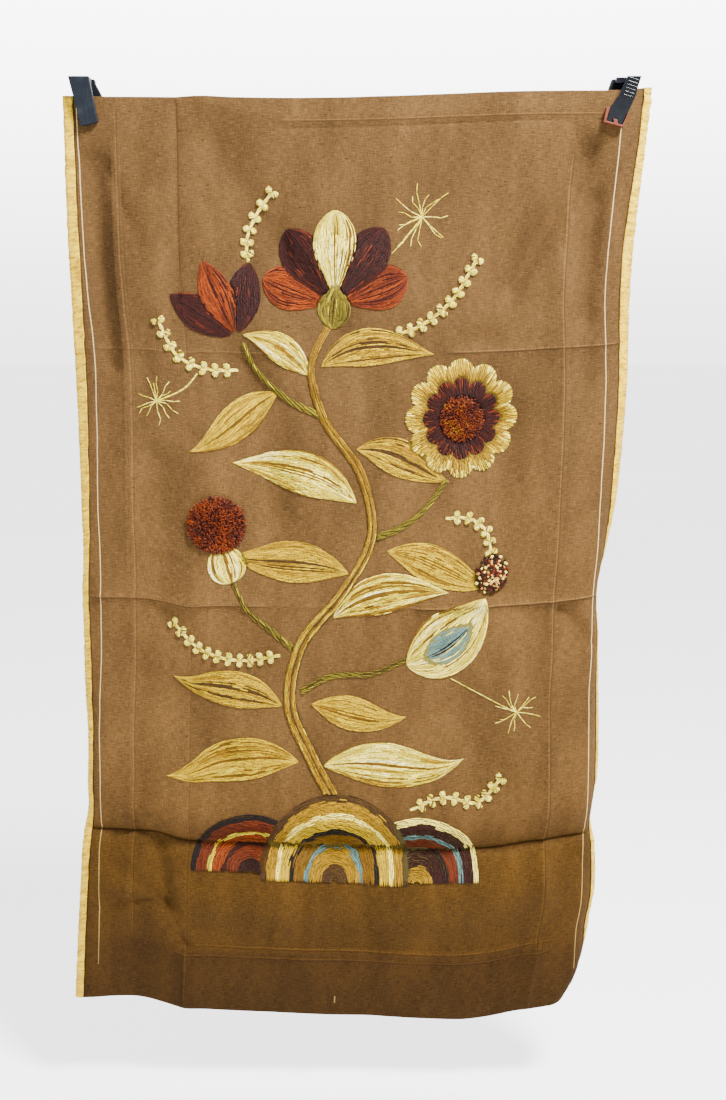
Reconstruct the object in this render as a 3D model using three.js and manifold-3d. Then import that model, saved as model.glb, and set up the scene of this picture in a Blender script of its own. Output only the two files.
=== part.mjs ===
// A crewel wall hanging: a linen panel worked with a flowering tree in wool, its two side edges bound
// with paper tape, hung by its top corners from two black spring clamps.
// Millimetres, +Z up, +X to the viewer's right, the worked face towards -Y. The origin lies between the
// clamps, at the height of their tops, in the plane that the cloth hangs in.
import * as THREE from "three";
import { mergeVertices } from "three/addons/utils/BufferGeometryUtils.js";
import Module from "manifold-3d";

// Driving dimensions of the cut cloth, with s counted from its left edge and t down from its top edge.
// The left edge was cut by hand, so what lies left of the printed line is wider in some places.
const CLOTH_WIDTH = 650;
const CLOTH_LENGTH = 1085;
const CLOTH_THICK = 1.4;
const LEFT_LINE = 15;
const RIGHT_LINE = 621;
const GAP = 0.35;

// The bend of each side edge: where it starts from the printed line, and how far it takes to turn.
const LEFT_BEND_START = LEFT_LINE + 5;
const LEFT_BEND_LENGTH = 12;
const RIGHT_BEND_START = RIGHT_LINE - 6;
const RIGHT_BEND_LENGTH = 16;

// The lower right corner rolls back about a slanting line.
const CORNER = { from: [650, 985], to: [590, 1085], radius: 16, turn: 95 };

// The tape lies within this distance of the cut edge.
const TAPE_ZONE = 11.5;
const TAPE_THICK = 0.7;

// Where the clamps hold the cloth, and how far round them it is held flat.
const GRIPS = [
  { s: 29, t: 22, reach: 34 },
  { s: 612, t: 22, reach: 34 },
];

// How the cloth hangs, by distance t down it: for the printed line on each side, its place in x; how far
// each side edge turns back in degrees, and how far the tape reaches in from it; how far the left edge
// lies from its line on the flat cloth; and how far the middle of the cloth stands forward.
const HANG_COLUMNS = [
  "t", "left", "leftMargin", "leftTurn", "leftTape", "right", "rightTurn", "rightTape", "forward",
];
const HANG = [
  [0, -303, 13.7, 4, 10, 304, 6, 7.5, 0],
  [60, -302, 14.3, 5, 10, 299.4, 10, 7.5, 0.5],
  [160, -299.9, 16, 10, 11, 290.5, 15, 11, 3],
  [225, -296, 18, 12, 11.5, 287.2, 17, 11.5, 4],
  [280, -290.8, 22, 12, 11.5, 288.8, 24, 11.5, 4],
  [340, -289.2, 22, 12, 11, 290.5, 32, 11.5, 4],
  [465, -290.8, 19.4, 14, 8.6, 288, 48, 11.5, 3],
  [520, -290, 19.7, 14, 6.8, 285.8, 67, 11.5, 5],
  [573, -289.8, 21.8, 14, 6.6, 281.8, 84, 11.5, 8],
  [630, -291.1, 20.7, 14, 7.2, 282, 77, 11.5, 7],
  [690, -293.9, 19.7, 25, 8.6, 280.3, 69, 11.5, 6],
  [745, -296.5, 15.5, 30, 7, 280.8, 66, 11.5, 8],
  [800, -297, 17.3, 30, 7.4, 280.8, 66, 11.5, 11],
  [840, -298, 18.6, 34, 8, 280, 77, 11.5, 6],
  [865, -299, 22, 26, 9.4, 278.5, 76, 11.5, 1],
  [890, -301.2, 21.7, 20, 9.4, 277, 60, 11.5, 7],
  [950, -302.2, 23.6, 14, 8.6, 276.6, 55, 11.5, 9],
  [990, -303.8, 25.2, 10, 8.5, 271.6, 57, 11.5, 4],
  [1085, -310.9, 25.2, 6, 8.5, 270, 60, 11.5, -9],
].map((row) => Object.fromEntries(HANG_COLUMNS.map((name, i) => [name, row[i]])));

// The heights of the top and bottom edges, by the share of the width.
const EDGES = [
  { share: 0, top: -19, bottom: -1080 },
  { share: 0.1, top: -20, bottom: -1080 },
  { share: 0.19, top: -20, bottom: -1096 },
  { share: 0.23, top: -18.5, bottom: -1097 },
  { share: 0.29, top: -20, bottom: -1098 },
  { share: 0.4, top: -21, bottom: -1102 },
  { share: 0.55, top: -19, bottom: -1106 },
  { share: 0.7, top: -15.5, bottom: -1110 },
  { share: 0.78, top: -14, bottom: -1107 },
  { share: 0.85, top: -13.5, bottom: -1098 },
  { share: 0.95, top: -12.5, bottom: -1087 },
  { share: 1, top: -9.5, bottom: -1078 },
];

// Folds: each row is a ridge (a height above 0) or a trough along a straight stretch of the flat cloth.
// A sharp one is a pressed crease, the others are soft.
const FOLDS = [
  { name: "storage crease, upper", from: [430, 281], to: [640, 281], width: 7, height: 3, sharp: true },
  { name: "storage crease, mid left", from: [4, 573], to: [210, 573], width: 8, height: 4, sharp: true },
  { name: "storage crease, mid right", from: [400, 573], to: [610, 573], width: 9, height: 5, sharp: true },
  { name: "storage crease, lower", from: [-20, 865], to: [640, 865], width: 11, height: -7, sharp: true },
  { name: "left stretcher crease", from: [57, 10], to: [52, 1000], width: 9, height: 3.5, sharp: true },
  { name: "right stretcher crease", from: [572, 60], to: [572, 1000], width: 9, height: 3.5, sharp: true },
  { name: "top stretcher crease", from: [240, 24], to: [600, 20], width: 7, height: 2.5, sharp: true },
  { name: "top slanting crease", from: [150, 4], to: [250, 24], width: 7, height: 2, sharp: true },
  { name: "bottom stretcher crease", from: [120, 1003], to: [560, 996], width: 8, height: 3.5, sharp: true },
  { name: "quarter crease, top", from: [124, 0], to: [124, 190], width: 8, height: -3, sharp: true },
  { name: "quarter crease, foot", from: [124, 1000], to: [124, 1085], width: 10, height: 4, sharp: true },
  { name: "left margin trough", from: [32, 70], to: [34, 300], width: 15, height: -6, sharp: false },
  { name: "left inner swag", from: [165, 50], to: [290, 230], width: 34, height: -7, sharp: false },
  { name: "left inner ridge", from: [90, 120], to: [96, 380], width: 24, height: 4, sharp: false },
  { name: "swag from the right grip", from: [590, 44], to: [512, 210], width: 19, height: -7, sharp: false },
  { name: "right margin trough", from: [598, 120], to: [596, 250], width: 14, height: -6, sharp: false },
  { name: "right side trough", from: [500, 360], to: [506, 560], width: 24, height: -6, sharp: false },
  { name: "left side ridge", from: [150, 420], to: [130, 560], width: 32, height: 5, sharp: false },
  { name: "left side trough", from: [190, 300], to: [230, 470], width: 30, height: -5, sharp: false },
  { name: "pinch below mid crease", from: [578, 577], to: [622, 634], width: 9, height: -6, sharp: true },
  { name: "left belly trough", from: [110, 690], to: [170, 780], width: 34, height: -5, sharp: false },
  { name: "roll above lower crease", from: [60, 832], to: [600, 828], width: 26, height: 5, sharp: false },
  { name: "right belly ridge", from: [520, 640], to: [540, 800], width: 34, height: 5, sharp: false },
  { name: "foot corner crease, upper", from: [18, 925], to: [92, 945], width: 9, height: 4, sharp: true },
  { name: "foot corner crease, lower", from: [14, 968], to: [92, 945], width: 9, height: -4, sharp: true },
  { name: "foot corner trough", from: [88, 880], to: [98, 950], width: 14, height: -6, sharp: false },
  { name: "foot roll, left", from: [150, 935], to: [300, 930], width: 32, height: 5, sharp: false },
  { name: "foot roll, right", from: [380, 920], to: [560, 915], width: 34, height: 7, sharp: false },
  { name: "right foot crease", from: [575, 1000], to: [560, 1085], width: 9, height: 5, sharp: true },
];

// The part of the flat cloth that is worked.
const WORKED = { left: 68, right: 552, top: 92, foot: 948 };

// The grid of the cloth's solid: closer where the creases and the edges are.
const COLUMNS = [
  0, TAPE_ZONE, 16, 20, 32, 44, 55, WORKED.left, 90, 124, 168, 204, 240, 276, 312,
  348, 384, 420, 456, 492, 524, WORKED.right, 572, 586, 598, 608, 615, 621, 628,
  CLOTH_WIDTH - TAPE_ZONE, CLOTH_WIDTH,
];
const ROWS = [
  0, 12, 23, 36, 62, WORKED.top, 124, 156, 188, 220, 252, 272, 281, 290, 318, 350, 384, 418,
  452, 486, 520, 548, 564, 573, 582, 604, 634, 666, 698, 730, 762, 794, 826, 848, 857, 865,
  873, 884, 908, 930, WORKED.foot, 968, 988, 1001, 1014, 1034, 1052, 1069, CLOTH_LENGTH,
];

// The flowering tree, in the flat cloth's s and t. A heading is in degrees, 0 to the right and 90 up.
// A positive bend turns the middle line to the left along its whole length, and a curl turns its tip.
const LEAVES = [
  { name: "leaf_foot_left", root: [262, 760], heading: 168, length: 168, width: 52, bend: 62, curl: -40 },
  { name: "leaf_foot_right", root: [292, 764], heading: 12, length: 176, width: 52, bend: -52, curl: 70 },
  { name: "leaf_low_left", root: [240, 694], heading: 150, length: 140, width: 44, bend: 60, curl: -50 },
  { name: "leaf_low_right", root: [276, 690], heading: -8, length: 120, width: 40, bend: -20, curl: 46 },
  { name: "leaf_heart_right", root: [300, 586], heading: 40, length: 150, width: 46, bend: -66, curl: 20 },
  { name: "leaf_mid_left", root: [318, 534], heading: 158, length: 150, width: 48, bend: 54, curl: -50 },
  { name: "leaf_mid_right", root: [364, 508], heading: -4, length: 140, width: 44, bend: -56, curl: 60 },
  { name: "leaf_back_left", root: [326, 452], heading: 136, length: 160, width: 50, bend: 70, curl: -30 },
  { name: "leaf_high_right", root: [325, 390], heading: 4, length: 120, width: 42, bend: -70, curl: 50 },
  { name: "leaf_high_left", root: [232, 326], heading: 206, length: 128, width: 42, bend: 44, curl: -60 },
  { name: "leaf_crown_left", root: [268, 306], heading: 124, length: 90, width: 34, bend: 50, curl: 0 },
  { name: "leaf_crown_right", root: [284, 296], heading: 38, length: 140, width: 42, bend: -80, curl: 30 },
];
const STEMS = [
  {
    name: "trunk",
    rise: 2.4,
    points: [
      [304, 800], [276, 750], [250, 690], [262, 618], [312, 556],
      [346, 488], [330, 416], [286, 354], [272, 296], [294, 252],
    ],
    widths: [18, 17, 16, 15, 13, 12, 11, 10, 9, 8],
  },
  {
    name: "branch_low_right",
    rise: 1.8,
    points: [[262, 676], [300, 656], [350, 652], [392, 634]],
    widths: [7, 6, 5, 5],
  },
  {
    name: "branch_low_left",
    rise: 1.8,
    points: [[258, 628], [226, 604], [196, 580], [176, 546]],
    widths: [7, 6, 5, 5],
  },
  {
    name: "branch_mid_right",
    rise: 1.8,
    points: [[346, 494], [388, 476], [420, 446], [434, 424]],
    widths: [7, 6, 5, 5],
  },
  {
    name: "branch_high_left",
    rise: 1.8,
    points: [[284, 352], [244, 334], [206, 300], [192, 270]],
    widths: [7, 6, 5, 5],
  },
];
const HILLOCKS = [
  { name: "hillock_front", centre: 310, base: 908, width: 184, rise: 110 },
  { name: "hillock_left", centre: 206, base: 900, width: 150, rise: 74 },
  { name: "hillock_right", centre: 414, base: 903, width: 150, rise: 80 },
];
const CROWN = {
  centre: [305, 228],
  petalStart: 10,
  petalWidth: 50,
  calyx: { name: "crown_calyx", root: [300, 254], heading: 82, length: 48, width: 40 },
  petals: [
    { name: "crown_petal_middle", heading: 90, length: 96 },
    { name: "crown_petal_upper_left", heading: 124, length: 92 },
    { name: "crown_petal_upper_right", heading: 56, length: 92 },
    { name: "crown_petal_lower_left", heading: 160, length: 80 },
    { name: "crown_petal_lower_right", heading: 20, length: 80 },
  ],
};
const BELL = {
  root: [187, 268],
  petalWidth: 40,
  petals: [
    { name: "bell_petal_middle", heading: 112, length: 84 },
    { name: "bell_petal_left", heading: 146, length: 80 },
    { name: "bell_petal_right", heading: 78, length: 80 },
  ],
};
const DAISY = { centre: [450, 356], petals: 12, outer: 68, outerValley: 57, inner: 47, innerValley: 39 };
const FRUIT = { name: "fruit", root: [392, 640], heading: 20, length: 124, width: 76, bend: 36 };
const FRUIT_HEART = { name: "fruit_heart", root: [414, 632], heading: 22, length: 70, width: 38, bend: 26 };
const THISTLE_CUP = { name: "thistle_cup", root: [176, 548], heading: 108, length: 50, width: 46 };
const PILES = [
  { name: "thistle_head", centre: [158, 480], across: 68, along: 66, rise: 9, colour: "rust" },
  { name: "daisy_eye", centre: [450, 356], across: 50, along: 50, rise: 8, colour: "rust" },
  { name: "bud_head", centre: [494, 536], across: 44, along: 46, rise: 8, colour: "darkPile" },
];
const SPRAYS = [
  { name: "spray_crown_right", points: [[336, 262], [392, 256], [440, 226], [470, 180]] },
  { name: "spray_crown_left", points: [[205, 184], [203, 158], [212, 130], [232, 102]] },
  { name: "spray_low_left", points: [[236, 632], [190, 640], [142, 630], [104, 598]] },
  { name: "spray_bell", points: [[184, 302], [148, 302], [112, 284], [96, 248]] },
  { name: "spray_bud", points: [[434, 470], [462, 470], [484, 486], [491, 511]] },
  { name: "spray_foot", points: [[400, 814], [440, 798], [484, 804], [512, 778]] },
];
const BERRY = { across: 8, rise: 3.2, apart: 22, off: 4.2 };

const PAD_RISE = 1.7;
const PETAL_RISE = 2;
const HILLOCK_RISE = 1.9;
const TALLEST_PILE = 12;

// The clamps' arms, each drawn as an outline in x and z, the lower end turned towards the middle.
const CLAMPS = [
  {
    side: "left",
    hinge: [-307, -286],
    front: [[-309, 0], [-286, 0], [-278.2, -48.4], [-297.2, -52.4]],
    rear: [[-305, 0], [-283.4, 0], [-282.4, -5], [-276, -17], [-271, -46], [-294, -50]],
  },
  {
    side: "right",
    hinge: [293, 316],
    front: [
      [305, 0], [319.5, 0], [316, -11], [314, -20.5], [306.6, -39],
      [301.6, -52], [281.8, -47], [286.6, -32], [298, -22],
    ],
    rear: [[290.2, 0], [312, 0], [306, -50], [280, -46], [286, -13]],
  },
];
const JAW_CLEAR = 1.6;
const ARM_THICK = 7;
const ARM_SLOPE = 0.09;
const ARM_BEVEL = 0.8;
const HINGE = { depth: 11, height: 6 };
const RIBS = { count: 5, from: [311.4, -4], to: [305.6, -21], width: 11, height: 1.3, proud: 0.8 };

// The soft jaw on the right clamp's front arm: a rim on three sides of its tip, and a small tab.
const JAW_RIM = [
  [282.4, -32.4], [279.2, -48.4], [301.2, -53.8], [307.4, -39], [305.9, -38.4], [300.2, -51.6],
  [295.6, -50.4], [294.4, -45.8], [289.8, -44.6], [290.9, -49.2], [282.4, -47], [286, -33.2],
];
const JAW_DEPTH = 9;

const COLOURS = {
  linen: 0x9a7044,
  tape: 0xecc979,
  clamp: 0x23262e,
  jaw: 0xb5502a,
  gold: 0xd9a520,
  yellow: 0xe8cc62,
  cream: 0xeae2bd,
  olive: 0x9b8a3c,
  rust: 0xb9531d,
  burgundy: 0x66201c,
  blue: 0x92b4b8,
  berry: 0xe0d48c,
  darkPile: 0x4d1712,
};

const wasm = await Module();
wasm.setup();

function smoothstep(x) {
  const u = Math.min(Math.max(x, 0), 1);
  return u * u * (3 - 2 * u);
}

// The value of one column of a table at a place on its key column, on a smooth curve through the rows.
function between(rows, key, column, at) {
  const last = rows.length - 1;
  const place = Math.min(Math.max(at, rows[0][key]), rows[last][key]);
  let i = 0;
  while (i < last - 1 && rows[i + 1][key] < place) i += 1;
  const slope = (k) => {
    const a = rows[Math.max(k - 1, 0)];
    const b = rows[Math.min(k + 1, last)];
    return (b[column] - a[column]) / (b[key] - a[key]);
  };
  const span = rows[i + 1][key] - rows[i][key];
  const u = (place - rows[i][key]) / span;
  const v = 1 - u;
  const ends = rows[i][column] * v * v * (1 + 2 * u) + rows[i + 1][column] * u * u * (3 - 2 * u);
  return ends + span * u * v * (slope(i) * v - slope(i + 1) * u);
}

// A strip that turns by an angle over a length: how far it reaches outwards and back after a distance.
function turned(distance, length, degrees) {
  const angle = THREE.MathUtils.degToRad(Math.max(degrees, 0.5));
  const round = Math.min(distance, length);
  const past = Math.max(distance - length, 0);
  const radius = length / angle;
  const now = round / radius;
  return {
    out: radius * Math.sin(now) + past * Math.cos(angle),
    back: radius * (1 - Math.cos(now)) + past * Math.sin(angle),
  };
}

// The height that one fold gives a point of the flat cloth.
function foldHeight(fold, s, t) {
  const [s0, t0] = fold.from;
  const ds = fold.to[0] - s0;
  const dt = fold.to[1] - t0;
  const along = ((s - s0) * ds + (t - t0) * dt) / (ds * ds + dt * dt);
  const held = Math.min(Math.max(along, 0), 1);
  const away = Math.hypot(s - s0 - held * ds, t - t0 - held * dt) / fold.width;
  if (!fold.sharp) return fold.height * Math.exp(-away * away);
  const ends = smoothstep(Math.min(held, 1 - held) / 0.08 + 0.25);
  return fold.height * Math.exp(-away) * ends;
}

// How loose the cloth is at a point: 0 where a clamp grips it.
function looseness(s, t) {
  return GRIPS.reduce((loose, grip) => {
    const away = Math.hypot(s - grip.s, t - grip.t) / grip.reach;
    return loose * smoothstep(away - 0.7);
  }, 1);
}

// The middle surface of the hanging cloth at a point of the flat cloth.
function hung(sFlat, tFlat) {
  const [c0, k0] = CORNER.from;
  const axis = new THREE.Vector2(CORNER.to[0] - c0, CORNER.to[1] - k0).normalize();
  const beyond = (sFlat - c0) * axis.y - (tFlat - k0) * axis.x;
  let s = sFlat;
  let t = tFlat;
  let back = 0;
  if (beyond > 0) {
    const length = CORNER.radius * THREE.MathUtils.degToRad(CORNER.turn);
    const roll = turned(beyond, length, CORNER.turn);
    s += (roll.out - beyond) * axis.y;
    t -= (roll.out - beyond) * axis.x;
    back += roll.back;
  }
  const at = (column) => between(HANG, "t", column, t);
  if (s < LEFT_LINE) {
    s -= (at("leftMargin") - LEFT_LINE) * Math.min((LEFT_LINE - s) / (LEFT_LINE - TAPE_ZONE), 1);
  }
  const left = at("left");
  const perFlat = (at("right") - left) / (RIGHT_LINE - LEFT_LINE);
  const straight = Math.min(Math.max(s, LEFT_BEND_START), RIGHT_BEND_START);
  let x = left + (straight - LEFT_LINE) * perFlat;
  if (s < LEFT_BEND_START) {
    const edge = turned(LEFT_BEND_START - s, LEFT_BEND_LENGTH, at("leftTurn"));
    x -= edge.out;
    back += edge.back;
  }
  if (s > RIGHT_BEND_START) {
    const edge = turned(s - RIGHT_BEND_START, RIGHT_BEND_LENGTH, at("rightTurn"));
    x += edge.out;
    back += edge.back;
  }
  const share = s / CLOTH_WIDTH;
  const top = between(EDGES, "share", "top", share);
  const bottom = between(EDGES, "share", "bottom", share);
  const folds = FOLDS.reduce((sum, fold) => sum + foldHeight(fold, s, t), 0);
  const sides = Math.sin(Math.PI * Math.min(Math.max(share, 0), 1)) ** 0.5;
  const forward = looseness(s, t) * folds + at("forward") * (0.35 + 0.65 * sides);
  return new THREE.Vector3(x, back - forward, top + ((bottom - top) * t) / CLOTH_LENGTH);
}

// The direction that the worked face looks in at a point of the flat cloth.
function facing(s, t) {
  const step = 1.5;
  const across = hung(s + step, t).sub(hung(s - step, t));
  const down = hung(s, t + step).sub(hung(s, t - step));
  return across.cross(down).normalize().negate();
}

function solidOf(geometry) {
  const bare = geometry.index ? geometry.toNonIndexed() : geometry.clone();
  for (const name of Object.keys(bare.attributes)) if (name !== "position") bare.deleteAttribute(name);
  const merged = mergeVertices(bare, 1e-4);
  return new wasm.Manifold(
    new wasm.Mesh({
      numProp: 3,
      vertProperties: new Float32Array(merged.attributes.position.array),
      triVerts: new Uint32Array(merged.index.array),
    }),
  );
}

function geometryOf(solid) {
  const mesh = solid.getMesh();
  const geometry = new THREE.BufferGeometry();
  geometry.setAttribute("position", new THREE.BufferAttribute(mesh.vertProperties, 3));
  geometry.setIndex(new THREE.BufferAttribute(mesh.triVerts, 1));
  return geometry;
}

// A closed solid from two like grids of points, the front one towards the viewer.
function slab(front, back) {
  const rows = front.length;
  const columns = front[0].length;
  const positions = [...front.flat(), ...back.flat()].flatMap((p) => [p.x, p.y, p.z]);
  const behind = rows * columns;
  const index = (r, c) => r * columns + c;
  const faces = [];
  const quad = (a, b, c, d) => faces.push(a, b, c, a, c, d);
  for (let r = 0; r < rows - 1; r += 1) {
    for (let c = 0; c < columns - 1; c += 1) {
      const [a, b, d, e] = [index(r, c), index(r + 1, c), index(r + 1, c + 1), index(r, c + 1)];
      quad(a, b, d, e);
      faces.push(a + behind, d + behind, b + behind, a + behind, e + behind, d + behind);
    }
  }
  for (let c = 0; c < columns - 1; c += 1) {
    quad(index(0, c), index(0, c + 1), index(0, c + 1) + behind, index(0, c) + behind);
    const low = rows - 1;
    quad(index(low, c + 1), index(low, c), index(low, c) + behind, index(low, c + 1) + behind);
  }
  for (let r = 0; r < rows - 1; r += 1) {
    quad(index(r + 1, 0), index(r, 0), index(r, 0) + behind, index(r + 1, 0) + behind);
    const right = columns - 1;
    quad(index(r, right), index(r + 1, right), index(r + 1, right) + behind, index(r, right) + behind);
  }
  const geometry = new THREE.BufferGeometry();
  geometry.setAttribute("position", new THREE.Float32BufferAttribute(positions, 3));
  geometry.setIndex(faces);
  return geometry;
}

// The points of the cloth's grid, moved off its middle surface towards the viewer by a distance.
const GRID = ROWS.map((t) => COLUMNS.map((s) => ({ at: hung(s, t), facing: facing(s, t) })));

function layer(distance, rows = [0, ROWS.length], columns = [0, COLUMNS.length]) {
  const moved = (point) => point.at.clone().addScaledVector(point.facing, distance);
  return GRID.slice(...rows).map((row) => row.slice(...columns).map(moved));
}

// A layer over the worked part of the cloth, from just off its face to a height above it.
function overlay(rise) {
  const columns = [COLUMNS.indexOf(WORKED.left), COLUMNS.indexOf(WORKED.right) + 1];
  const rows = [ROWS.indexOf(WORKED.top), ROWS.indexOf(WORKED.foot) + 1];
  const face = CLOTH_THICK / 2 + GAP;
  return solidOf(slab(layer(face + rise, rows, columns), layer(face, rows, columns)));
}

// A leaf or petal: its two sides bulge from a curved middle line. A larger belly puts the widest place
// further out, and a larger point makes both ends finer.
function blade({ root, heading, length, width, bend = 0, curl = 0, belly = 0.85, point = 1.1 }, steps = 10) {
  const sides = [[], []];
  const headingAt = (share) => THREE.MathUtils.degToRad(heading + bend * share + curl * share ** 3);
  let [s, t] = root;
  for (let i = 0; i <= steps; i += 1) {
    const share = i / steps;
    const here = headingAt(share);
    const half = (width / 2) * Math.max(Math.sin(Math.PI * share ** belly), 0) ** point;
    sides[0].push([s - half * Math.sin(here), t - half * Math.cos(here)]);
    sides[1].push([s + half * Math.sin(here), t + half * Math.cos(here)]);
    const next = headingAt(share + 0.5 / steps);
    s += (length / steps) * Math.cos(next);
    t -= (length / steps) * Math.sin(next);
  }
  return [...sides[0], ...sides[1].slice(1, -1).reverse()];
}

function smoothLine(points) {
  const places = points.map(([s, t]) => new THREE.Vector3(s, t, 0));
  return new THREE.CatmullRomCurve3(places, false, "centripetal");
}

// A smooth line through points, with its width at each.
function ribbon(points, widths, steps) {
  const curve = smoothLine(points);
  const sides = [[], []];
  for (let i = 0; i <= steps; i += 1) {
    const share = i / steps;
    const at = curve.getPoint(share);
    const ahead = curve.getTangent(share);
    const place = share * (widths.length - 1);
    const k = Math.min(Math.floor(place), widths.length - 2);
    const half = (widths[k] + (widths[k + 1] - widths[k]) * (place - k)) / 2;
    sides[0].push([at.x - ahead.y * half, at.y + ahead.x * half]);
    sides[1].push([at.x + ahead.y * half, at.y - ahead.x * half]);
  }
  return [...sides[0], ...sides[1].reverse()];
}

function hillockOutline({ centre, base, width, rise }, steps = 12) {
  const points = [];
  for (let i = 0; i <= steps; i += 1) {
    const angle = Math.PI * (1 - i / steps);
    points.push([centre + (width / 2) * Math.cos(angle), base - rise * Math.max(Math.sin(angle), 0) ** 0.8]);
  }
  return points;
}

// A ring of petals: a circle whose radius swells and dips.
function rosette([s, t], tip, valley, petals) {
  const points = [];
  const perPetal = 4;
  for (let i = 0; i < petals * perPetal; i += 1) {
    const angle = (2 * Math.PI * i) / (petals * perPetal);
    const radius = valley + (tip - valley) * Math.abs(Math.cos((petals * angle) / 2)) ** 0.6;
    points.push([s + radius * Math.cos(angle), t - radius * Math.sin(angle)]);
  }
  return points;
}

// The same outline with every point moved outwards by a distance.
function grown(outline, distance) {
  const count = outline.length;
  const area = outline.reduce((sum, [s, t], i) => {
    const [s2, t2] = outline[(i + 1) % count];
    return sum + s * t2 - s2 * t;
  }, 0);
  const side = area > 0 ? 1 : -1;
  return outline.map(([s, t], i) => {
    const before = outline[(i + count - 1) % count];
    const after = outline[(i + 1) % count];
    const a = new THREE.Vector2(s - before[0], t - before[1]).normalize();
    const b = new THREE.Vector2(after[0] - s, after[1] - t).normalize();
    const off = new THREE.Vector2(a.y + b.y, -a.x - b.x).normalize().multiplyScalar(side * distance);
    const miter = 1 / Math.max(Math.sqrt((1 + a.dot(b)) / 2), 0.5);
    return [s + off.x * miter, t + off.y * miter];
  });
}

// An upright outline in x and z, thickened from one y to another.
function upright(outline, nearY, farY) {
  const shape = new THREE.Shape(outline.map(([x, z]) => new THREE.Vector2(x, z)));
  const geometry = new THREE.ExtrudeGeometry(shape, { depth: farY - nearY, bevelEnabled: false, steps: 1 });
  geometry.rotateX(Math.PI / 2);
  geometry.translate(0, farY, 0);
  return geometry;
}

// A prism through the cloth, front to back, over an outline drawn on the flat cloth.
function prism(outline) {
  const hungOutline = outline.map(([s, t]) => {
    const at = hung(s, t);
    return [at.x, at.z];
  });
  return solidOf(upright(hungOutline, -60, 60));
}

function largestBody(solid) {
  return solid.decompose().sort((a, b) => b.volume() - a.volume())[0];
}

const hanging = new THREE.Group();

function addMesh(name, geometry, colour, roughness = 0.9) {
  const material = new THREE.MeshStandardMaterial({ color: COLOURS[colour], roughness, metalness: 0 });
  const mesh = new THREE.Mesh(geometry, material);
  mesh.name = name;
  hanging.add(mesh);
}

const overlays = new Map();

function overlayOf(rise) {
  if (!overlays.has(rise)) overlays.set(rise, overlay(rise));
  return overlays.get(rise);
}

// What is already worked on the cloth, as prisms that later motifs stop short of.
let worked = null;

function unworked(solid) {
  return worked ? solid.subtract(worked) : solid;
}

function claim(outline) {
  const space = prism(grown(outline, GAP));
  worked = worked ? worked.add(space) : space;
}

// A motif of flat stitches: a low pad with its outline, less what is worked over it.
function addPad(name, outline, rise, colour) {
  const whole = overlayOf(rise).intersect(prism(outline));
  addMesh(name, geometryOf(largestBody(unworked(whole))), colour);
  claim(outline);
}

// An egg shape round a point of the flat cloth, that follows how the cloth hangs.
function egg([s, t], across, along, rise, around) {
  const geometry = new THREE.SphereGeometry(1, around, Math.max(4, around / 2 - 2));
  const place = geometry.attributes.position;
  for (let i = 0; i < place.count; i += 1) {
    const at = hung(s + (place.getX(i) * across) / 2, t - (place.getZ(i) * along) / 2);
    place.setXYZ(i, at.x, at.y + place.getY(i) * (rise + CLOTH_THICK / 2), at.z);
  }
  return solidOf(geometry);
}

// A mound of cut pile, as the upper half of an egg shape that stands on the cloth.
function addPile({ name, centre, across, along, rise, colour }) {
  const around = 16;
  const mound = egg(centre, across, along, rise, around).intersect(overlayOf(TALLEST_PILE));
  addMesh(name, geometryOf(largestBody(mound)), colour, 1);
  const ring = [];
  for (let i = 0; i < around; i += 1) {
    const angle = (2 * Math.PI * i) / around;
    ring.push([centre[0] + (across / 2) * Math.cos(angle), centre[1] - (along / 2) * Math.sin(angle)]);
  }
  claim(ring);
}

// A knot of thread: a low five-sided bud that stands just off the cloth.
function knot([s, t]) {
  const sides = 5;
  const ring = (radius, height) =>
    Array.from({ length: sides }, (_, i) => {
      const angle = (2 * Math.PI * i) / sides;
      const [s1, t1] = [s + radius * Math.cos(angle), t - radius * Math.sin(angle)];
      return hung(s1, t1).addScaledVector(facing(s1, t1), height);
    });
  const points = [...ring(BERRY.across / 2, 0), ...ring(BERRY.across / 3, CLOTH_THICK / 2 + BERRY.rise)];
  const faces = [];
  for (let i = 0; i < sides; i += 1) {
    const next = (i + 1) % sides;
    faces.push(i, next, next + sides, i, next + sides, i + sides);
  }
  for (let i = 1; i < sides - 1; i += 1) {
    faces.push(0, i + 1, i, sides, sides + i, sides + i + 1);
  }
  const geometry = new THREE.BufferGeometry();
  const positions = points.flatMap((p) => [p.x, p.y, p.z]);
  geometry.setAttribute("position", new THREE.Float32BufferAttribute(positions, 3));
  geometry.setIndex(faces);
  return solidOf(geometry).intersect(overlayOf(TALLEST_PILE));
}

// A spray: a fine stem with pairs of knots along it, all worked in one thread.
function addSpray({ name, points }) {
  const curve = smoothLine(points);
  let spray = overlayOf(1).intersect(prism(ribbon(points, [2, 2], 8)));
  const pairs = Math.floor(curve.getLength() / BERRY.apart);
  for (let i = 1; i <= pairs; i += 1) {
    const at = curve.getPoint(i / pairs);
    const ahead = curve.getTangent(i / pairs);
    for (const side of [1, -1]) {
      spray = spray.add(knot([at.x - ahead.y * side * BERRY.off, at.y + ahead.x * side * BERRY.off]));
    }
  }
  addMesh(name, geometryOf(largestBody(unworked(spray))), "berry");
}

function addCrown() {
  addPad(CROWN.calyx.name, blade({ ...CROWN.calyx, belly: 0.9, point: 0.7 }, 6), PETAL_RISE, "olive");
  const colours = ["cream", "burgundy", "burgundy", "rust", "rust"];
  CROWN.petals.forEach((petal, i) => {
    const angle = THREE.MathUtils.degToRad(petal.heading);
    const root = [
      CROWN.centre[0] + CROWN.petalStart * Math.cos(angle),
      CROWN.centre[1] - CROWN.petalStart * Math.sin(angle),
    ];
    const outline = blade({ ...petal, root, width: CROWN.petalWidth, belly: 1.5, point: 0.62 }, 9);
    addPad(petal.name, outline, PETAL_RISE, colours[i]);
  });
}

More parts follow.
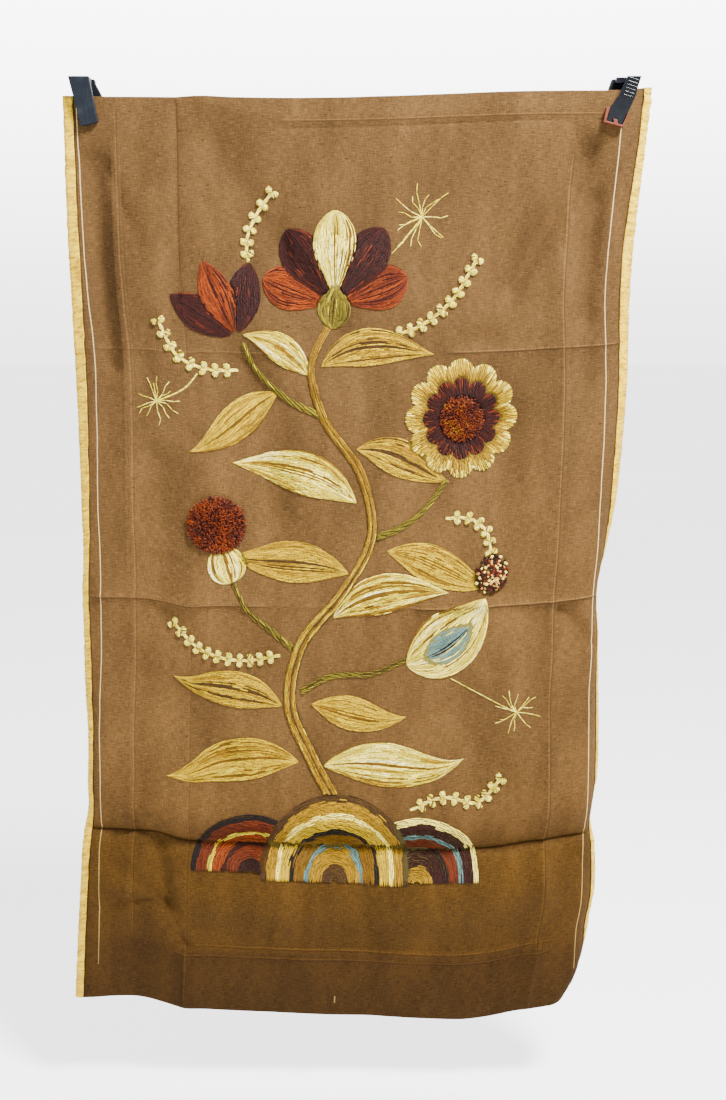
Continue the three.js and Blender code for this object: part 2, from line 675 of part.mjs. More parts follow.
function addBell() {
  const colours = ["rust", "burgundy", "burgundy"];
  BELL.petals.forEach((petal, i) => {
    const shape = { ...petal, root: BELL.root, width: BELL.petalWidth, belly: 1, point: 0.75 };
    addPad(petal.name, blade(shape, 8), PETAL_RISE, colours[i]);
  });
}

function addDaisy() {
  const { centre, petals, outer, outerValley, inner, innerValley } = DAISY;
  addPad("daisy_inner_ring", rosette(centre, inner, innerValley, petals), PETAL_RISE, "burgundy");
  addPad("daisy_outer_ring", rosette(centre, outer, outerValley, petals), PAD_RISE, "yellow");
}

// The motifs are added from the uppermost layer down, because each stops short of those before it.
function addTree() {
  PILES.forEach(addPile);
  addCrown();
  addBell();
  addDaisy();
  addPad(THISTLE_CUP.name, blade({ ...THISTLE_CUP, belly: 0.75, point: 0.6 }, 8), PETAL_RISE, "cream");
  addPad(FRUIT_HEART.name, blade({ ...FRUIT_HEART, belly: 0.85, point: 0.75 }), PETAL_RISE, "blue");
  addPad(FRUIT.name, blade({ ...FRUIT, belly: 0.85, point: 0.75 }, 12), PAD_RISE, "cream");
  const hillockColours = ["gold", "rust", "burgundy"];
  HILLOCKS.forEach((hillock, i) => {
    addPad(hillock.name, hillockOutline(hillock), HILLOCK_RISE, hillockColours[i]);
  });
  STEMS.forEach((stem, i) => {
    addPad(stem.name, ribbon(stem.points, stem.widths, i ? 8 : 24), stem.rise, i ? "olive" : "gold");
  });
  const leafColours = ["yellow", "cream", "gold"];
  LEAVES.forEach((leaf, i) => {
    addPad(leaf.name, blade(leaf), PAD_RISE, leafColours[i % leafColours.length]);
  });
  SPRAYS.forEach(addSpray);
}

// A strip of tape folded round a side edge of the cloth, its front and back leaves parallel to it.
function addTape(name, onRight) {
  const near = CLOTH_THICK / 2 + GAP;
  const far = near + TAPE_THICK;
  const sections = ROWS.map((t, r) => {
    const width = between(HANG, "t", onRight ? "rightTape" : "leftTape", t);
    const edge = GRID[r][onRight ? COLUMNS.length - 1 : 0];
    const zone = GRID[r][onRight ? COLUMNS.length - 2 : 1];
    const share = width / TAPE_ZONE;
    const inner = {
      at: edge.at.clone().lerp(zone.at, share),
      facing: edge.facing.clone().lerp(zone.facing, share),
    };
    const outwards = edge.at.clone().sub(inner.at).normalize();
    const place = (point, distance, out) =>
      point.at.clone().addScaledVector(point.facing, distance).addScaledVector(outwards, out);
    return [
      place(inner, far, 0),
      place(edge, far, GAP + TAPE_THICK),
      place(edge, -far, GAP + TAPE_THICK),
      place(inner, -far, 0),
      place(inner, -near, 0),
      place(edge, -near, GAP),
      place(edge, near, GAP),
      place(inner, near, 0),
    ];
  });
  const round = sections[0].length;
  const faces = [];
  const add = (a, b, c) => (onRight ? faces.push(a, b, c) : faces.push(a, c, b));
  const runsOutwards = [true, true, false, false, true, true, false, false];
  for (let r = 0; r < sections.length - 1; r += 1) {
    for (let k = 0; k < round; k += 1) {
      const a = r * round + k;
      const b = r * round + ((k + 1) % round);
      if (runsOutwards[k] === onRight) {
        add(a, a + round, b + round);
        add(a, b + round, b);
      } else {
        add(a, a + round, b);
        add(a + round, b + round, b);
      }
    }
  }
  const cap = (start, flip) => {
    for (let k = 0; k < round / 2 - 1; k += 1) {
      const [a, b, c, d] = [start + k, start + k + 1, start + round - 2 - k, start + round - 1 - k];
      if (flip) {
        add(a, c, b);
        add(a, d, c);
      } else {
        add(a, b, c);
        add(a, c, d);
      }
    }
  };
  cap(0, false);
  cap((sections.length - 1) * round, true);
  const geometry = new THREE.BufferGeometry();
  const positions = sections.flat().flatMap((point) => [point.x, point.y, point.z]);
  geometry.setAttribute("position", new THREE.Float32BufferAttribute(positions, 3));
  geometry.setIndex(faces);
  addMesh(name, geometry, "tape", 0.7);
}

// A clamp's arm: its outline with a thickness, sloped away from the cloth towards its top.
function armGeometry(outline, isFront) {
  const shape = new THREE.Shape(grown(outline, -ARM_BEVEL).map(([x, z]) => new THREE.Vector2(x, z)));
  const geometry = new THREE.ExtrudeGeometry(shape, {
    depth: ARM_THICK - 2 * ARM_BEVEL,
    bevelEnabled: true,
    bevelThickness: ARM_BEVEL,
    bevelSize: ARM_BEVEL,
    bevelSegments: 1,
    steps: 1,
  });
  geometry.rotateX(Math.PI / 2);
  geometry.computeBoundingBox();
  const { min, max } = geometry.boundingBox;
  const side = isFront ? -1 : 1;
  const nearFace = isFront ? max.y : min.y;
  const place = geometry.attributes.position;
  for (let i = 0; i < place.count; i += 1) {
    const clear = JAW_CLEAR + (place.getZ(i) - min.z) * ARM_SLOPE;
    place.setY(i, place.getY(i) - nearFace + side * clear);
  }
  return geometry;
}

function addClamp({ side, hinge, front, rear }) {
  let frontArm = solidOf(armGeometry(front, true));
  if (side === "right") {
    frontArm = frontArm.subtract(solidOf(upright(grown(JAW_RIM, GAP), -40, 10)));
    for (let i = 0; i < RIBS.count; i += 1) {
      const share = i / (RIBS.count - 1);
      const rib = new THREE.BoxGeometry(RIBS.width, 4, RIBS.height);
      const x = RIBS.from[0] + (RIBS.to[0] - RIBS.from[0]) * share;
      const z = RIBS.from[1] + (RIBS.to[1] - RIBS.from[1]) * share;
      const face = -(JAW_CLEAR + (z + 52) * ARM_SLOPE + ARM_THICK);
      rib.rotateY(THREE.MathUtils.degToRad(17));
      rib.translate(x, face - RIBS.proud + 2, z);
      frontArm = frontArm.add(solidOf(rib));
    }
  }
  addMesh(`clamp_${side}_front_arm`, geometryOf(largestBody(frontArm)), "clamp", 0.5);
  addMesh(`clamp_${side}_rear_arm`, armGeometry(rear, false), "clamp", 0.5);
  const block = new THREE.BoxGeometry(hinge[1] - hinge[0], HINGE.depth, HINGE.height);
  block.translate((hinge[0] + hinge[1]) / 2, 0, -HINGE.height / 2);
  addMesh(`clamp_${side}_hinge`, block, "clamp", 0.5);
}

addMesh("linen_panel", slab(layer(CLOTH_THICK / 2), layer(-CLOTH_THICK / 2)), "linen");
addTape("edge_tape_left", false);
addTape("edge_tape_right", true);
addTree();
CLAMPS.forEach(addClamp);
addMesh("clamp_right_jaw", upright(JAW_RIM, -JAW_CLEAR - JAW_DEPTH, -JAW_CLEAR), "jaw", 0.6);

export default hanging;
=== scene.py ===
"""The looks of a crewel wall hanging, laid out as a Blender add-on and run as a script.

A linen panel, its side edges bound with creased paper tape, hangs by its top corners from two spring
clamps. It is worked in wool with a flowering tree: every stitch, knot and tuft of pile is a strand of
its own. Sizes are in millimetres on the flat cloth, with s from its left edge and t from its top edge,
and hung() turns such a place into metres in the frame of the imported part.
"""

import math
from dataclasses import dataclass

import bpy
import numpy as np
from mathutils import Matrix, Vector


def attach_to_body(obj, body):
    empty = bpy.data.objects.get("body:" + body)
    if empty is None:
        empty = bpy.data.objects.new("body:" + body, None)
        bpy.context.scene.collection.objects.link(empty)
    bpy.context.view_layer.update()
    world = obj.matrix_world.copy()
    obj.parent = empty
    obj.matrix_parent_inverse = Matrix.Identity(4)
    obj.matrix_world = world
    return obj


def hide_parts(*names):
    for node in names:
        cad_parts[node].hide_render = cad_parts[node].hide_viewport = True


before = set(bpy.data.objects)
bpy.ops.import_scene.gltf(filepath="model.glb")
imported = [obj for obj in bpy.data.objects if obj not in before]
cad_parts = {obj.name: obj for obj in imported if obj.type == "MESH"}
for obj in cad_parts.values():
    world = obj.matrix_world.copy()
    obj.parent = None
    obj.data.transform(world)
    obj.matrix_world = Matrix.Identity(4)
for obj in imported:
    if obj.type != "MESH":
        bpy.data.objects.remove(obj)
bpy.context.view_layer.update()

bl_info = {
    "name": "Crewel wall hanging",
    "version": (1, 0, 0),
    "blender": (4, 5, 0),
    "location": "3D View > Sidebar > Crewel",
    "description": "Builds a hanging linen panel with its wool stitches, edge tape and spring clamps",
    "category": "Add Mesh",
}

MM = 0.001
BODY = "root"

# The cut cloth, and the bends of its side edges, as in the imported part. Its left edge was cut by hand,
# so what lies left of the printed line is wider in some places.
CLOTH_WIDTH = 650.0
CLOTH_LENGTH = 1085.0
LEFT_LINE = 15.0
RIGHT_LINE = 621.0
LEFT_BEND_START = LEFT_LINE + 5.0
LEFT_BEND_LENGTH = 12.0
RIGHT_BEND_START = RIGHT_LINE - 6.0
RIGHT_BEND_LENGTH = 16.0
CORNER = {"from": (650.0, 985.0), "to": (590.0, 1085.0), "radius": 16.0, "turn": 95.0}
TAPE_ZONE = 11.5
GRIPS = ((29.0, 22.0, 34.0), (612.0, 22.0, 34.0))

# How the cloth hangs, by distance t down it: for the printed line on each side, its place in x; how far
# the side edge turns back in degrees, and how far the tape reaches in from it; how far the left edge
# lies from its line on the flat cloth; and how far the middle stands forward.
HANG_COLUMNS = (
    "t", "left", "left_margin", "left_turn", "left_tape", "right", "right_turn", "right_tape", "forward",
)
HANG = np.array([
    (0, -303, 13.7, 4, 10, 304, 6, 7.5, 0),
    (60, -302, 14.3, 5, 10, 299.4, 10, 7.5, 0.5),
    (160, -299.9, 16, 10, 11, 290.5, 15, 11, 3),
    (225, -296, 18, 12, 11.5, 287.2, 17, 11.5, 4),
    (280, -290.8, 22, 12, 11.5, 288.8, 24, 11.5, 4),
    (340, -289.2, 22, 12, 11, 290.5, 32, 11.5, 4),
    (465, -290.8, 19.4, 14, 8.6, 288, 48, 11.5, 3),
    (520, -290, 19.7, 14, 6.8, 285.8, 67, 11.5, 5),
    (573, -289.8, 21.8, 14, 6.6, 281.8, 84, 11.5, 8),
    (630, -291.1, 20.7, 14, 7.2, 282, 77, 11.5, 7),
    (690, -293.9, 19.7, 25, 8.6, 280.3, 69, 11.5, 6),
    (745, -296.5, 15.5, 30, 7, 280.8, 66, 11.5, 8),
    (800, -297, 17.3, 30, 7.4, 280.8, 66, 11.5, 11),
    (840, -298, 18.6, 34, 8, 280, 77, 11.5, 6),
    (865, -299, 22, 26, 9.4, 278.5, 76, 11.5, 1),
    (890, -301.2, 21.7, 20, 9.4, 277, 60, 11.5, 7),
    (950, -302.2, 23.6, 14, 8.6, 276.6, 55, 11.5, 9),
    (990, -303.8, 25.2, 10, 8.5, 271.6, 57, 11.5, 4),
    (1085, -310.9, 25.2, 6, 8.5, 270, 60, 11.5, -9),
], float)

# The heights of the top and bottom edges, by the share of the width.
EDGES = np.array([
    (0, -19, -1080), (0.1, -20, -1080), (0.19, -20, -1096), (0.23, -18.5, -1097), (0.29, -20, -1098),
    (0.4, -21, -1102), (0.55, -19, -1106), (0.7, -15.5, -1110), (0.78, -14, -1107),
    (0.85, -13.5, -1098), (0.95, -12.5, -1087), (1, -9.5, -1078),
], float)

# The main folds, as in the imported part: where each starts and ends, its width, height, and whether
# it is a sharp crease.
FOLDS = (
    ((430, 281), (640, 281), 7, 3, True),
    ((4, 573), (210, 573), 8, 4, True),
    ((400, 573), (610, 573), 9, 5, True),
    ((-20, 865), (640, 865), 11, -7, True),
    ((57, 10), (52, 1000), 9, 3.5, True),
    ((572, 60), (572, 1000), 9, 3.5, True),
    ((240, 24), (600, 20), 7, 2.5, True),
    ((150, 4), (250, 24), 7, 2, True),
    ((120, 1003), (560, 996), 8, 3.5, True),
    ((124, 0), (124, 190), 8, -3, True),
    ((124, 1000), (124, 1085), 10, 4, True),
    ((32, 70), (34, 300), 15, -6, False),
    ((165, 50), (290, 230), 34, -7, False),
    ((90, 120), (96, 380), 24, 4, False),
    ((590, 44), (512, 210), 19, -7, False),
    ((598, 120), (596, 250), 14, -6, False),
    ((500, 360), (506, 560), 24, -6, False),
    ((150, 420), (130, 560), 32, 5, False),
    ((190, 300), (230, 470), 30, -5, False),
    ((578, 577), (622, 634), 9, -6, True),
    ((110, 690), (170, 780), 34, -5, False),
    ((60, 832), (600, 828), 26, 5, False),
    ((520, 640), (540, 800), 34, 5, False),
    ((18, 925), (92, 945), 9, 4, True),
    ((14, 968), (92, 945), 9, -4, True),
    ((88, 880), (98, 950), 14, -6, False),
    ((150, 935), (300, 930), 32, 5, False),
    ((380, 920), (560, 915), 34, 7, False),
    ((575, 1000), (560, 1085), 9, 5, True),
)

# Fine creases that only the look needs, in the same form.
FINE_FOLDS = (
    ((4, 281), (300, 283), 5, 1.0, True),
    ((210, 573), (400, 573), 5, 1.4, True),
    ((124, 190), (124, 1000), 5, -0.5, True),
    ((582, 572), (625, 556), 5, 1.6, True),
    ((470, 250), (600, 262), 16, 1.6, False),
    ((528, 320), (534, 520), 4, 1.2, True),
    ((60, 640), (62, 840), 12, -1.8, False),
    ((250, 962), (520, 950), 22, 2.4, False),
    ((40, 880), (96, 945), 4, 1.6, True),
    ((92, 945), (150, 985), 6, -1.6, True),
    ((92, 945), (120, 905), 5, 1.5, True),
    ((590, 870), (628, 905), 6, -2.2, True),
    ((560, 880), (590, 960), 8, 1.8, False),
    ((10, 400), (60, 392), 7, 1.5, False),
    ((10, 700), (58, 706), 8, 1.6, False),
    ((575, 700), (615, 712), 8, 1.6, False),
    ((575, 470), (616, 452), 8, 1.8, False),
    ((-30, 866), (660, 866), 2.6, -2.4, True),
    ((20, 858), (230, 859), 5, 1.8, False),
    ((430, 858), (620, 859), 5, 1.8, False),
    ((380, 573), (640, 574), 2.4, 1.6, True),
    ((-10, 573), (230, 573), 2.2, 1.3, True),
    ((52, 30), (48, 560), 2.2, 1.4, True),
    ((62, 60), (60, 430), 2.0, -1.2, True),
    ((123, 4), (122, 230), 2.2, -1.5, True),
    ((571, 90), (567, 620), 2.2, 1.4, True),
    ((580, 120), (578, 540), 2.0, -1.1, True),
    ((236, 33), (560, 31), 2.2, -1.4, True),
    ((110, 996), (600, 990), 2.2, -1.3, True),
    ((104, 1012), (600, 1006), 2.0, 1.1, True),
    ((92, 945), (58, 1008), 6, 3.2, True),
    ((16, 936), (90, 948), 6, 3.4, True),
    ((20, 900), (92, 945), 6, -3.2, True),
    ((92, 945), (128, 1006), 6, -3.6, True),
    ((70, 1010), (100, 1070), 34, -4.0, False),
    ((124, 1004), (125, 1085), 2.4, 1.8, True),
    ((598, 56), (566, 150), 5, -2.6, False),
    ((624, 66), (618, 190), 5, 2.6, False),
    ((42, 62), (74, 150), 6, -2.2, False),
    ((150, 250), (210, 330), 22, -3.0, False),
    ((395, 300), (520, 250), 20, -2.6, False),
    ((470, 760), (560, 700), 24, -2.4, False),
    ((110, 560), (170, 640), 22, 2.2, False),
    ((330, 960), (360, 1070), 30, -2.4, False),
    ((200, 960), (190, 1070), 26, 2.4, False),
    ((470, 1010), (480, 1085), 26, 2.2, False),
    ((602, 50), (486, 270), 10, -6.5, False),
    ((562, 60), (440, 270), 18, 2.4, False),
    ((566, 66), (560, 560), 7, 2.0, False),
    ((604, 96), (600, 320), 9, -4.6, False),
    ((140, 90), (250, 250), 14, -2.6, False),
    ((196, 70), (330, 250), 18, 2.6, False),
    ((46, 70), (50, 330), 10, 1.6, False),
    ((84, 60), (74, 300), 14, -2.0, False),
)

# Rows of short puckers where the cloth was pinched: the line that they stand on, how far they reach
# from it, how far apart they are, and their height.
PUCKER_ROWS = (
    ((355, 34), (520, 30), 12, 8.5, 0.9),
    ((120, 1016), (290, 1012), 14, 9.5, 1.1),
    ((300, 1010), (560, 1004), 9, 11.0, 0.5),
    ((44, 120), (42, 560), 8, 13.0, 0.5),
    ((586, 640), (586, 980), 9, 12.0, 0.6),
    ((10, 940), (88, 946), 18, 10.0, 0.9),
)

# Creases drawn in the cloth's colour as painted light, a pale line of painted highlight on each and a
# dark line of painted shade beside it: whether each runs down or across the cloth, its place, where it
# starts and ends, and how strongly it shows.
CREASE_PAINTED_LIGHT = (
    ("across", 24.0, 236.0, 604.0, 0.55),
    ("across", 281.0, 430.0, 648.0, 0.7),
    ("across", 281.5, -8.0, 250.0, 0.3),
    ("across", 573.0, 395.0, 648.0, 0.85),
    ("across", 573.5, -8.0, 226.0, 0.65),
    ("across", 866.0, -12.0, 648.0, 0.8),
    ("across", 996.0, 112.0, 604.0, 0.5),
    ("across", 1009.0, 100.0, 596.0, 0.6),
    ("down", 57.0, 8.0, 1004.0, 0.45),
    ("down", 124.0, 2.0, 300.0, 0.35),
    ("down", 124.5, 600.0, 1085.0, 0.3),
    ("down", 571.0, 60.0, 1010.0, 0.6),
)

# How much higher the hung cloth carries its main folds than the table says, sharp and soft ones.
SHARP_GAIN = 1.15
SOFT_GAIN = 1.8

# Crumple all over the cloth: its height, the size of its cells across and down, and its seed.
CRUMPLE = ((1.3, 74, 96, 1), (0.55, 31, 44, 2), (0.22, 12, 17, 3))

# The oval that the worked part fills, where the stitches draw the cloth in.
WORKED_CENTRE = (300, 520)
WORKED_RADII = (205, 420)

# The cloth's tone by the share of its length, painted light and shade: palest over the middle,
# darker and browner at the foot.
PAINTED_SHADE_DOWN_CLOTH = (
    (0.0, (0.95, 0.95, 0.95)), (0.05, (0.87, 0.87, 0.86)), (0.21, (0.88, 0.88, 0.87)),
    (0.32, (0.98, 0.98, 0.95)), (0.48, (1.1, 1.09, 1.0)), (0.7, (1.06, 1.04, 0.92)),
    (0.785, (0.93, 0.88, 0.7)), (0.812, (0.66, 0.6, 0.34)), (0.87, (0.64, 0.58, 0.33)),
    (0.915, (0.58, 0.52, 0.31)), (0.935, (0.45, 0.4, 0.25)), (1.0, (0.38, 0.34, 0.22)),
)


def table_curve(rows, column, at):
    """A smooth curve through the rows of a table at the places in `at`: between two rows it is the
    cubic that has their values, and slopes taken from the rows on either side."""
    keys, values = rows[:, 0], rows[:, column]
    last = len(keys) - 1
    before = np.maximum(np.arange(last + 1) - 1, 0)
    after = np.minimum(np.arange(last + 1) + 1, last)
    slopes = (values[after] - values[before]) / (keys[after] - keys[before])
    place = np.clip(at, keys[0], keys[-1])
    i = np.clip(np.searchsorted(keys, place, side="right") - 1, 0, last - 1)
    span = keys[i + 1] - keys[i]
    u = (place - keys[i]) / span
    v = 1 - u
    ends = values[i] * v * v * (1 + 2 * u) + values[i + 1] * u * u * (3 - 2 * u)
    return ends + span * u * v * (slopes[i] * v - slopes[i + 1] * u)


def smoothstep(x):
    """0 below 0, 1 above 1, and 3x^2 - 2x^3 between."""
    u = np.clip(x, 0, 1)
    return u * u * (3 - 2 * u)


def turned(distance, length, degrees):
    """How far out and back a strip reaches that bends at an even rate over a length, then goes on
    straight: the arc's sine and one minus its cosine, times its radius."""
    angle = np.radians(np.maximum(degrees, 0.5))
    around = np.minimum(distance, length)
    past = np.maximum(distance - length, 0)
    radius = length / angle
    out = radius * np.sin(around / radius) + past * np.cos(angle)
    back = radius * (1 - np.cos(around / radius)) + past * np.sin(angle)
    return out, back


def along_line(start, end, s, t):
    """How far along a straight stretch each point is, as a share, and how far it is from it."""
    ds, dt = end[0] - start[0], end[1] - start[1]
    share = np.clip(((s - start[0]) * ds + (t - start[1]) * dt) / (ds * ds + dt * dt), 0, 1)
    away = np.hypot(s - start[0] - share * ds, t - start[1] - share * dt)
    return share, away


# The share of a sharp crease and of a row of puckers over which it fades out at each end.
CREASE_FADE = 0.08
PUCKER_FADE = 0.12


def fold_height(fold, s, t):
    """A soft fold's height falls off as exp(-(d/w)^2) from its line, and a sharp one's as
    exp(-d/w), fading out near its ends."""
    start, end, width, height, sharp = fold
    share, away = along_line(start, end, s, t)
    if not sharp:
        return height * np.exp(-((away / width) ** 2))
    ends = smoothstep(np.minimum(share, 1 - share) / CREASE_FADE + 0.25)
    return height * np.exp(-away / width) * ends


def lattice_noise(x, y, cell_x, cell_y, seed):
    """Smooth noise from -1 to 1: random values on a lattice, blended by smoothstep between them."""
    size = 64
    values = np.random.default_rng(seed).uniform(-1, 1, (size, size))
    gx, gy = x / cell_x, y / cell_y
    ix, iy = np.floor(gx).astype(int), np.floor(gy).astype(int)
    fx, fy = smoothstep(gx - ix), smoothstep(gy - iy)

    def at(dx, dy):
        return values[(ix + dx) % size, (iy + dy) % size]

    low = at(0, 0) * (1 - fx) + at(1, 0) * fx
    high = at(0, 1) * (1 - fx) + at(1, 1) * fx
    return low * (1 - fy) + high * fy


def pucker_height(row, s, t):
    """A row of puckers is a wave along its line, whose height falls off as exp(-(d/r)^2) from it."""
    start, end, reach, apart, height = row
    share, away = along_line(start, end, s, t)
    run = math.hypot(end[0] - start[0], end[1] - start[1])
    drift = 2.2 * lattice_noise(s, t, 26, 26, 5)
    wave = np.cos(2 * np.pi * share * run / apart + drift)
    fade = smoothstep(np.minimum(share, 1 - share) / PUCKER_FADE)
    return height * wave * fade * np.exp(-((away / reach) ** 2))


def drawn_in(s, t):
    """Puckers around the worked tree: waves that run out from its middle, strongest on an oval
    round it, and a slight overall sinking where the stitches draw the cloth in."""
    x, y = (s - WORKED_CENTRE[0]) / WORKED_RADII[0], (t - WORKED_CENTRE[1]) / WORKED_RADII[1]
    radius = np.hypot(x, y)
    angle = np.arctan2(y, x)
    waves = lattice_noise(angle * 9, radius * 3, 1.0, 2.2, 11)
    waves = waves + 0.5 * lattice_noise(angle * 21, radius * 4, 1.0, 2.0, 12)
    ring = np.exp(-(((radius - 0.98) / 0.24) ** 2))
    inside = smoothstep((1.05 - radius) / 0.3)
    return 1.9 * waves * ring + 0.8 * inside * lattice_noise(s, t, 21, 27, 13)


def fine_height(s, t):
    """All the small unevenness that the solid doesn't have: fine creases, puckers and crumple."""
    height = sum(fold_height(fold, s, t) for fold in FINE_FOLDS)
    height = height + sum(pucker_height(row, s, t) for row in PUCKER_ROWS)
    for rise, across, down, seed in CRUMPLE:
        height = height + rise * lattice_noise(s, t, across, down, seed)
    return height + drawn_in(s, t)


def looseness(s, t):
    """0 where a clamp grips the cloth, rising to 1 around it."""
    loose = 1.0
    for grip_s, grip_t, reach in GRIPS:
        loose = loose * smoothstep(np.hypot(s - grip_s, t - grip_t) / reach - 0.7)
    return loose


def hang_value(name, t):
    """A named column of the hanging table at the distances t down the cloth."""
    return table_curve(HANG, HANG_COLUMNS.index(name), t)


def wider_margin(s, t):
    """The true place across the flat cloth. Between the left line and the tape the cloth is wider
    than the even grid by the margin's surplus, which grows in a straight line over that stretch, and
    all that lies further out moves by the whole of it."""
    surplus = hang_value("left_margin", t) - LEFT_LINE
    return s - surplus * np.clip((LEFT_LINE - s) / (LEFT_LINE - TAPE_ZONE), 0, 1)


def hung(s, t):
    """The middle surface of the hanging cloth, in millimetres. The corner rolls back first, in the
    flat cloth, and the left margin is widened. Then x comes from the two printed lines and the
    turned side edges, z runs evenly from the top edge to the bottom edge, and y is the turn back
    less the forward swing and folds."""
    s, t = np.broadcast_arrays(np.asarray(s, float), np.asarray(t, float))
    (c0, k0), (c1, k1) = CORNER["from"], CORNER["to"]
    run = math.hypot(c1 - c0, k1 - k0)
    axis_s, axis_t = (c1 - c0) / run, (k1 - k0) / run
    beyond = np.maximum((s - c0) * axis_t - (t - k0) * axis_s, 0)
    roll_length = CORNER["radius"] * math.radians(CORNER["turn"])
    out, back = turned(beyond, roll_length, CORNER["turn"])
    s = s + (out - beyond) * axis_t
    t = t - (out - beyond) * axis_s
    s = wider_margin(s, t)
    left = hang_value("left", t)
    scale = (hang_value("right", t) - left) / (RIGHT_LINE - LEFT_LINE)
    x = left + (np.clip(s, LEFT_BEND_START, RIGHT_BEND_START) - LEFT_LINE) * scale
    left_turn, right_turn = hang_value("left_turn", t), hang_value("right_turn", t)
    out, edge_back = turned(np.maximum(LEFT_BEND_START - s, 0), LEFT_BEND_LENGTH, left_turn)
    x, back = x - out, back + edge_back
    out, edge_back = turned(np.maximum(s - RIGHT_BEND_START, 0), RIGHT_BEND_LENGTH, right_turn)
    x, back = x + out, back + edge_back
    share = np.clip(s / CLOTH_WIDTH, 0, 1)
    top, bottom = table_curve(EDGES, 1, share), table_curve(EDGES, 2, share)
    folds = sum(fold_height(fold, s, t) * (SHARP_GAIN if fold[4] else SOFT_GAIN) for fold in FOLDS)
    folds = folds + fine_height(s, t)
    sides = np.sqrt(np.maximum(np.sin(np.pi * share), 0))
    forward = looseness(s, t) * folds + hang_value("forward", t) * (0.35 + 0.65 * sides)
    return np.stack([x, back - forward, top + (bottom - top) * t / CLOTH_LENGTH], -1)


def unit(vectors):
    """The same directions with a length of 1."""
    return vectors / np.maximum(np.linalg.norm(vectors, axis=-1, keepdims=True), 1e-9)


def facing(s, t):
    """The way the worked face looks: the cross product of the steps across and down."""
    step = 1.2
    across = hung(s + step, t) - hung(s - step, t)
    down = hung(s, t + step) - hung(s, t - step)
    return -unit(np.cross(across, down))


def linear(hex_colour):
    """A colour written as six hexadecimal digits, turned into the renderer's linear values."""
    values = np.array([int(hex_colour[i:i + 2], 16) for i in (0, 2, 4)]) / 255
    return np.where(values <= 0.04045, values / 12.92, ((values + 0.055) / 1.055) ** 2.4)


def tinted(colour, factor):
    """A lighter or darker tone of a colour."""
    return tuple(value * factor for value in colour)


WOOL = {name: linear(code) for name, code in {
    "white": "efe6c0", "cream": "f2df62", "straw": "c9b31c", "yellow": "bb9a02", "gold": "946f02",
    "ochre": "6e4c05", "brown": "422c12", "olive": "695d13", "rust": "60230a", "orange": "803304",
    "peach": "bd8144", "burgundy": "2b0b09", "dark": "1d0807", "black": "11100f", "blue": "577772",
}.items()}


def sums(operation):
    """The method for one operation of a Math node, and its reflected form."""
    def plain(self, other):
        return self.graph.maths(operation, self, other)

    def reflected(self, other):
        return self.graph.maths(operation, other, self)

    return plain, reflected


class Wire:
    """A value in a material's nodes. Sums on it add the Math nodes that work them out."""

    __add__, __radd__ = sums("ADD")
    __sub__, __rsub__ = sums("SUBTRACT")
    __mul__, __rmul__ = sums("MULTIPLY")
    __truediv__, __rtruediv__ = sums("DIVIDE")

    def __init__(self, graph, socket):
        self.graph = graph
        self.socket = socket


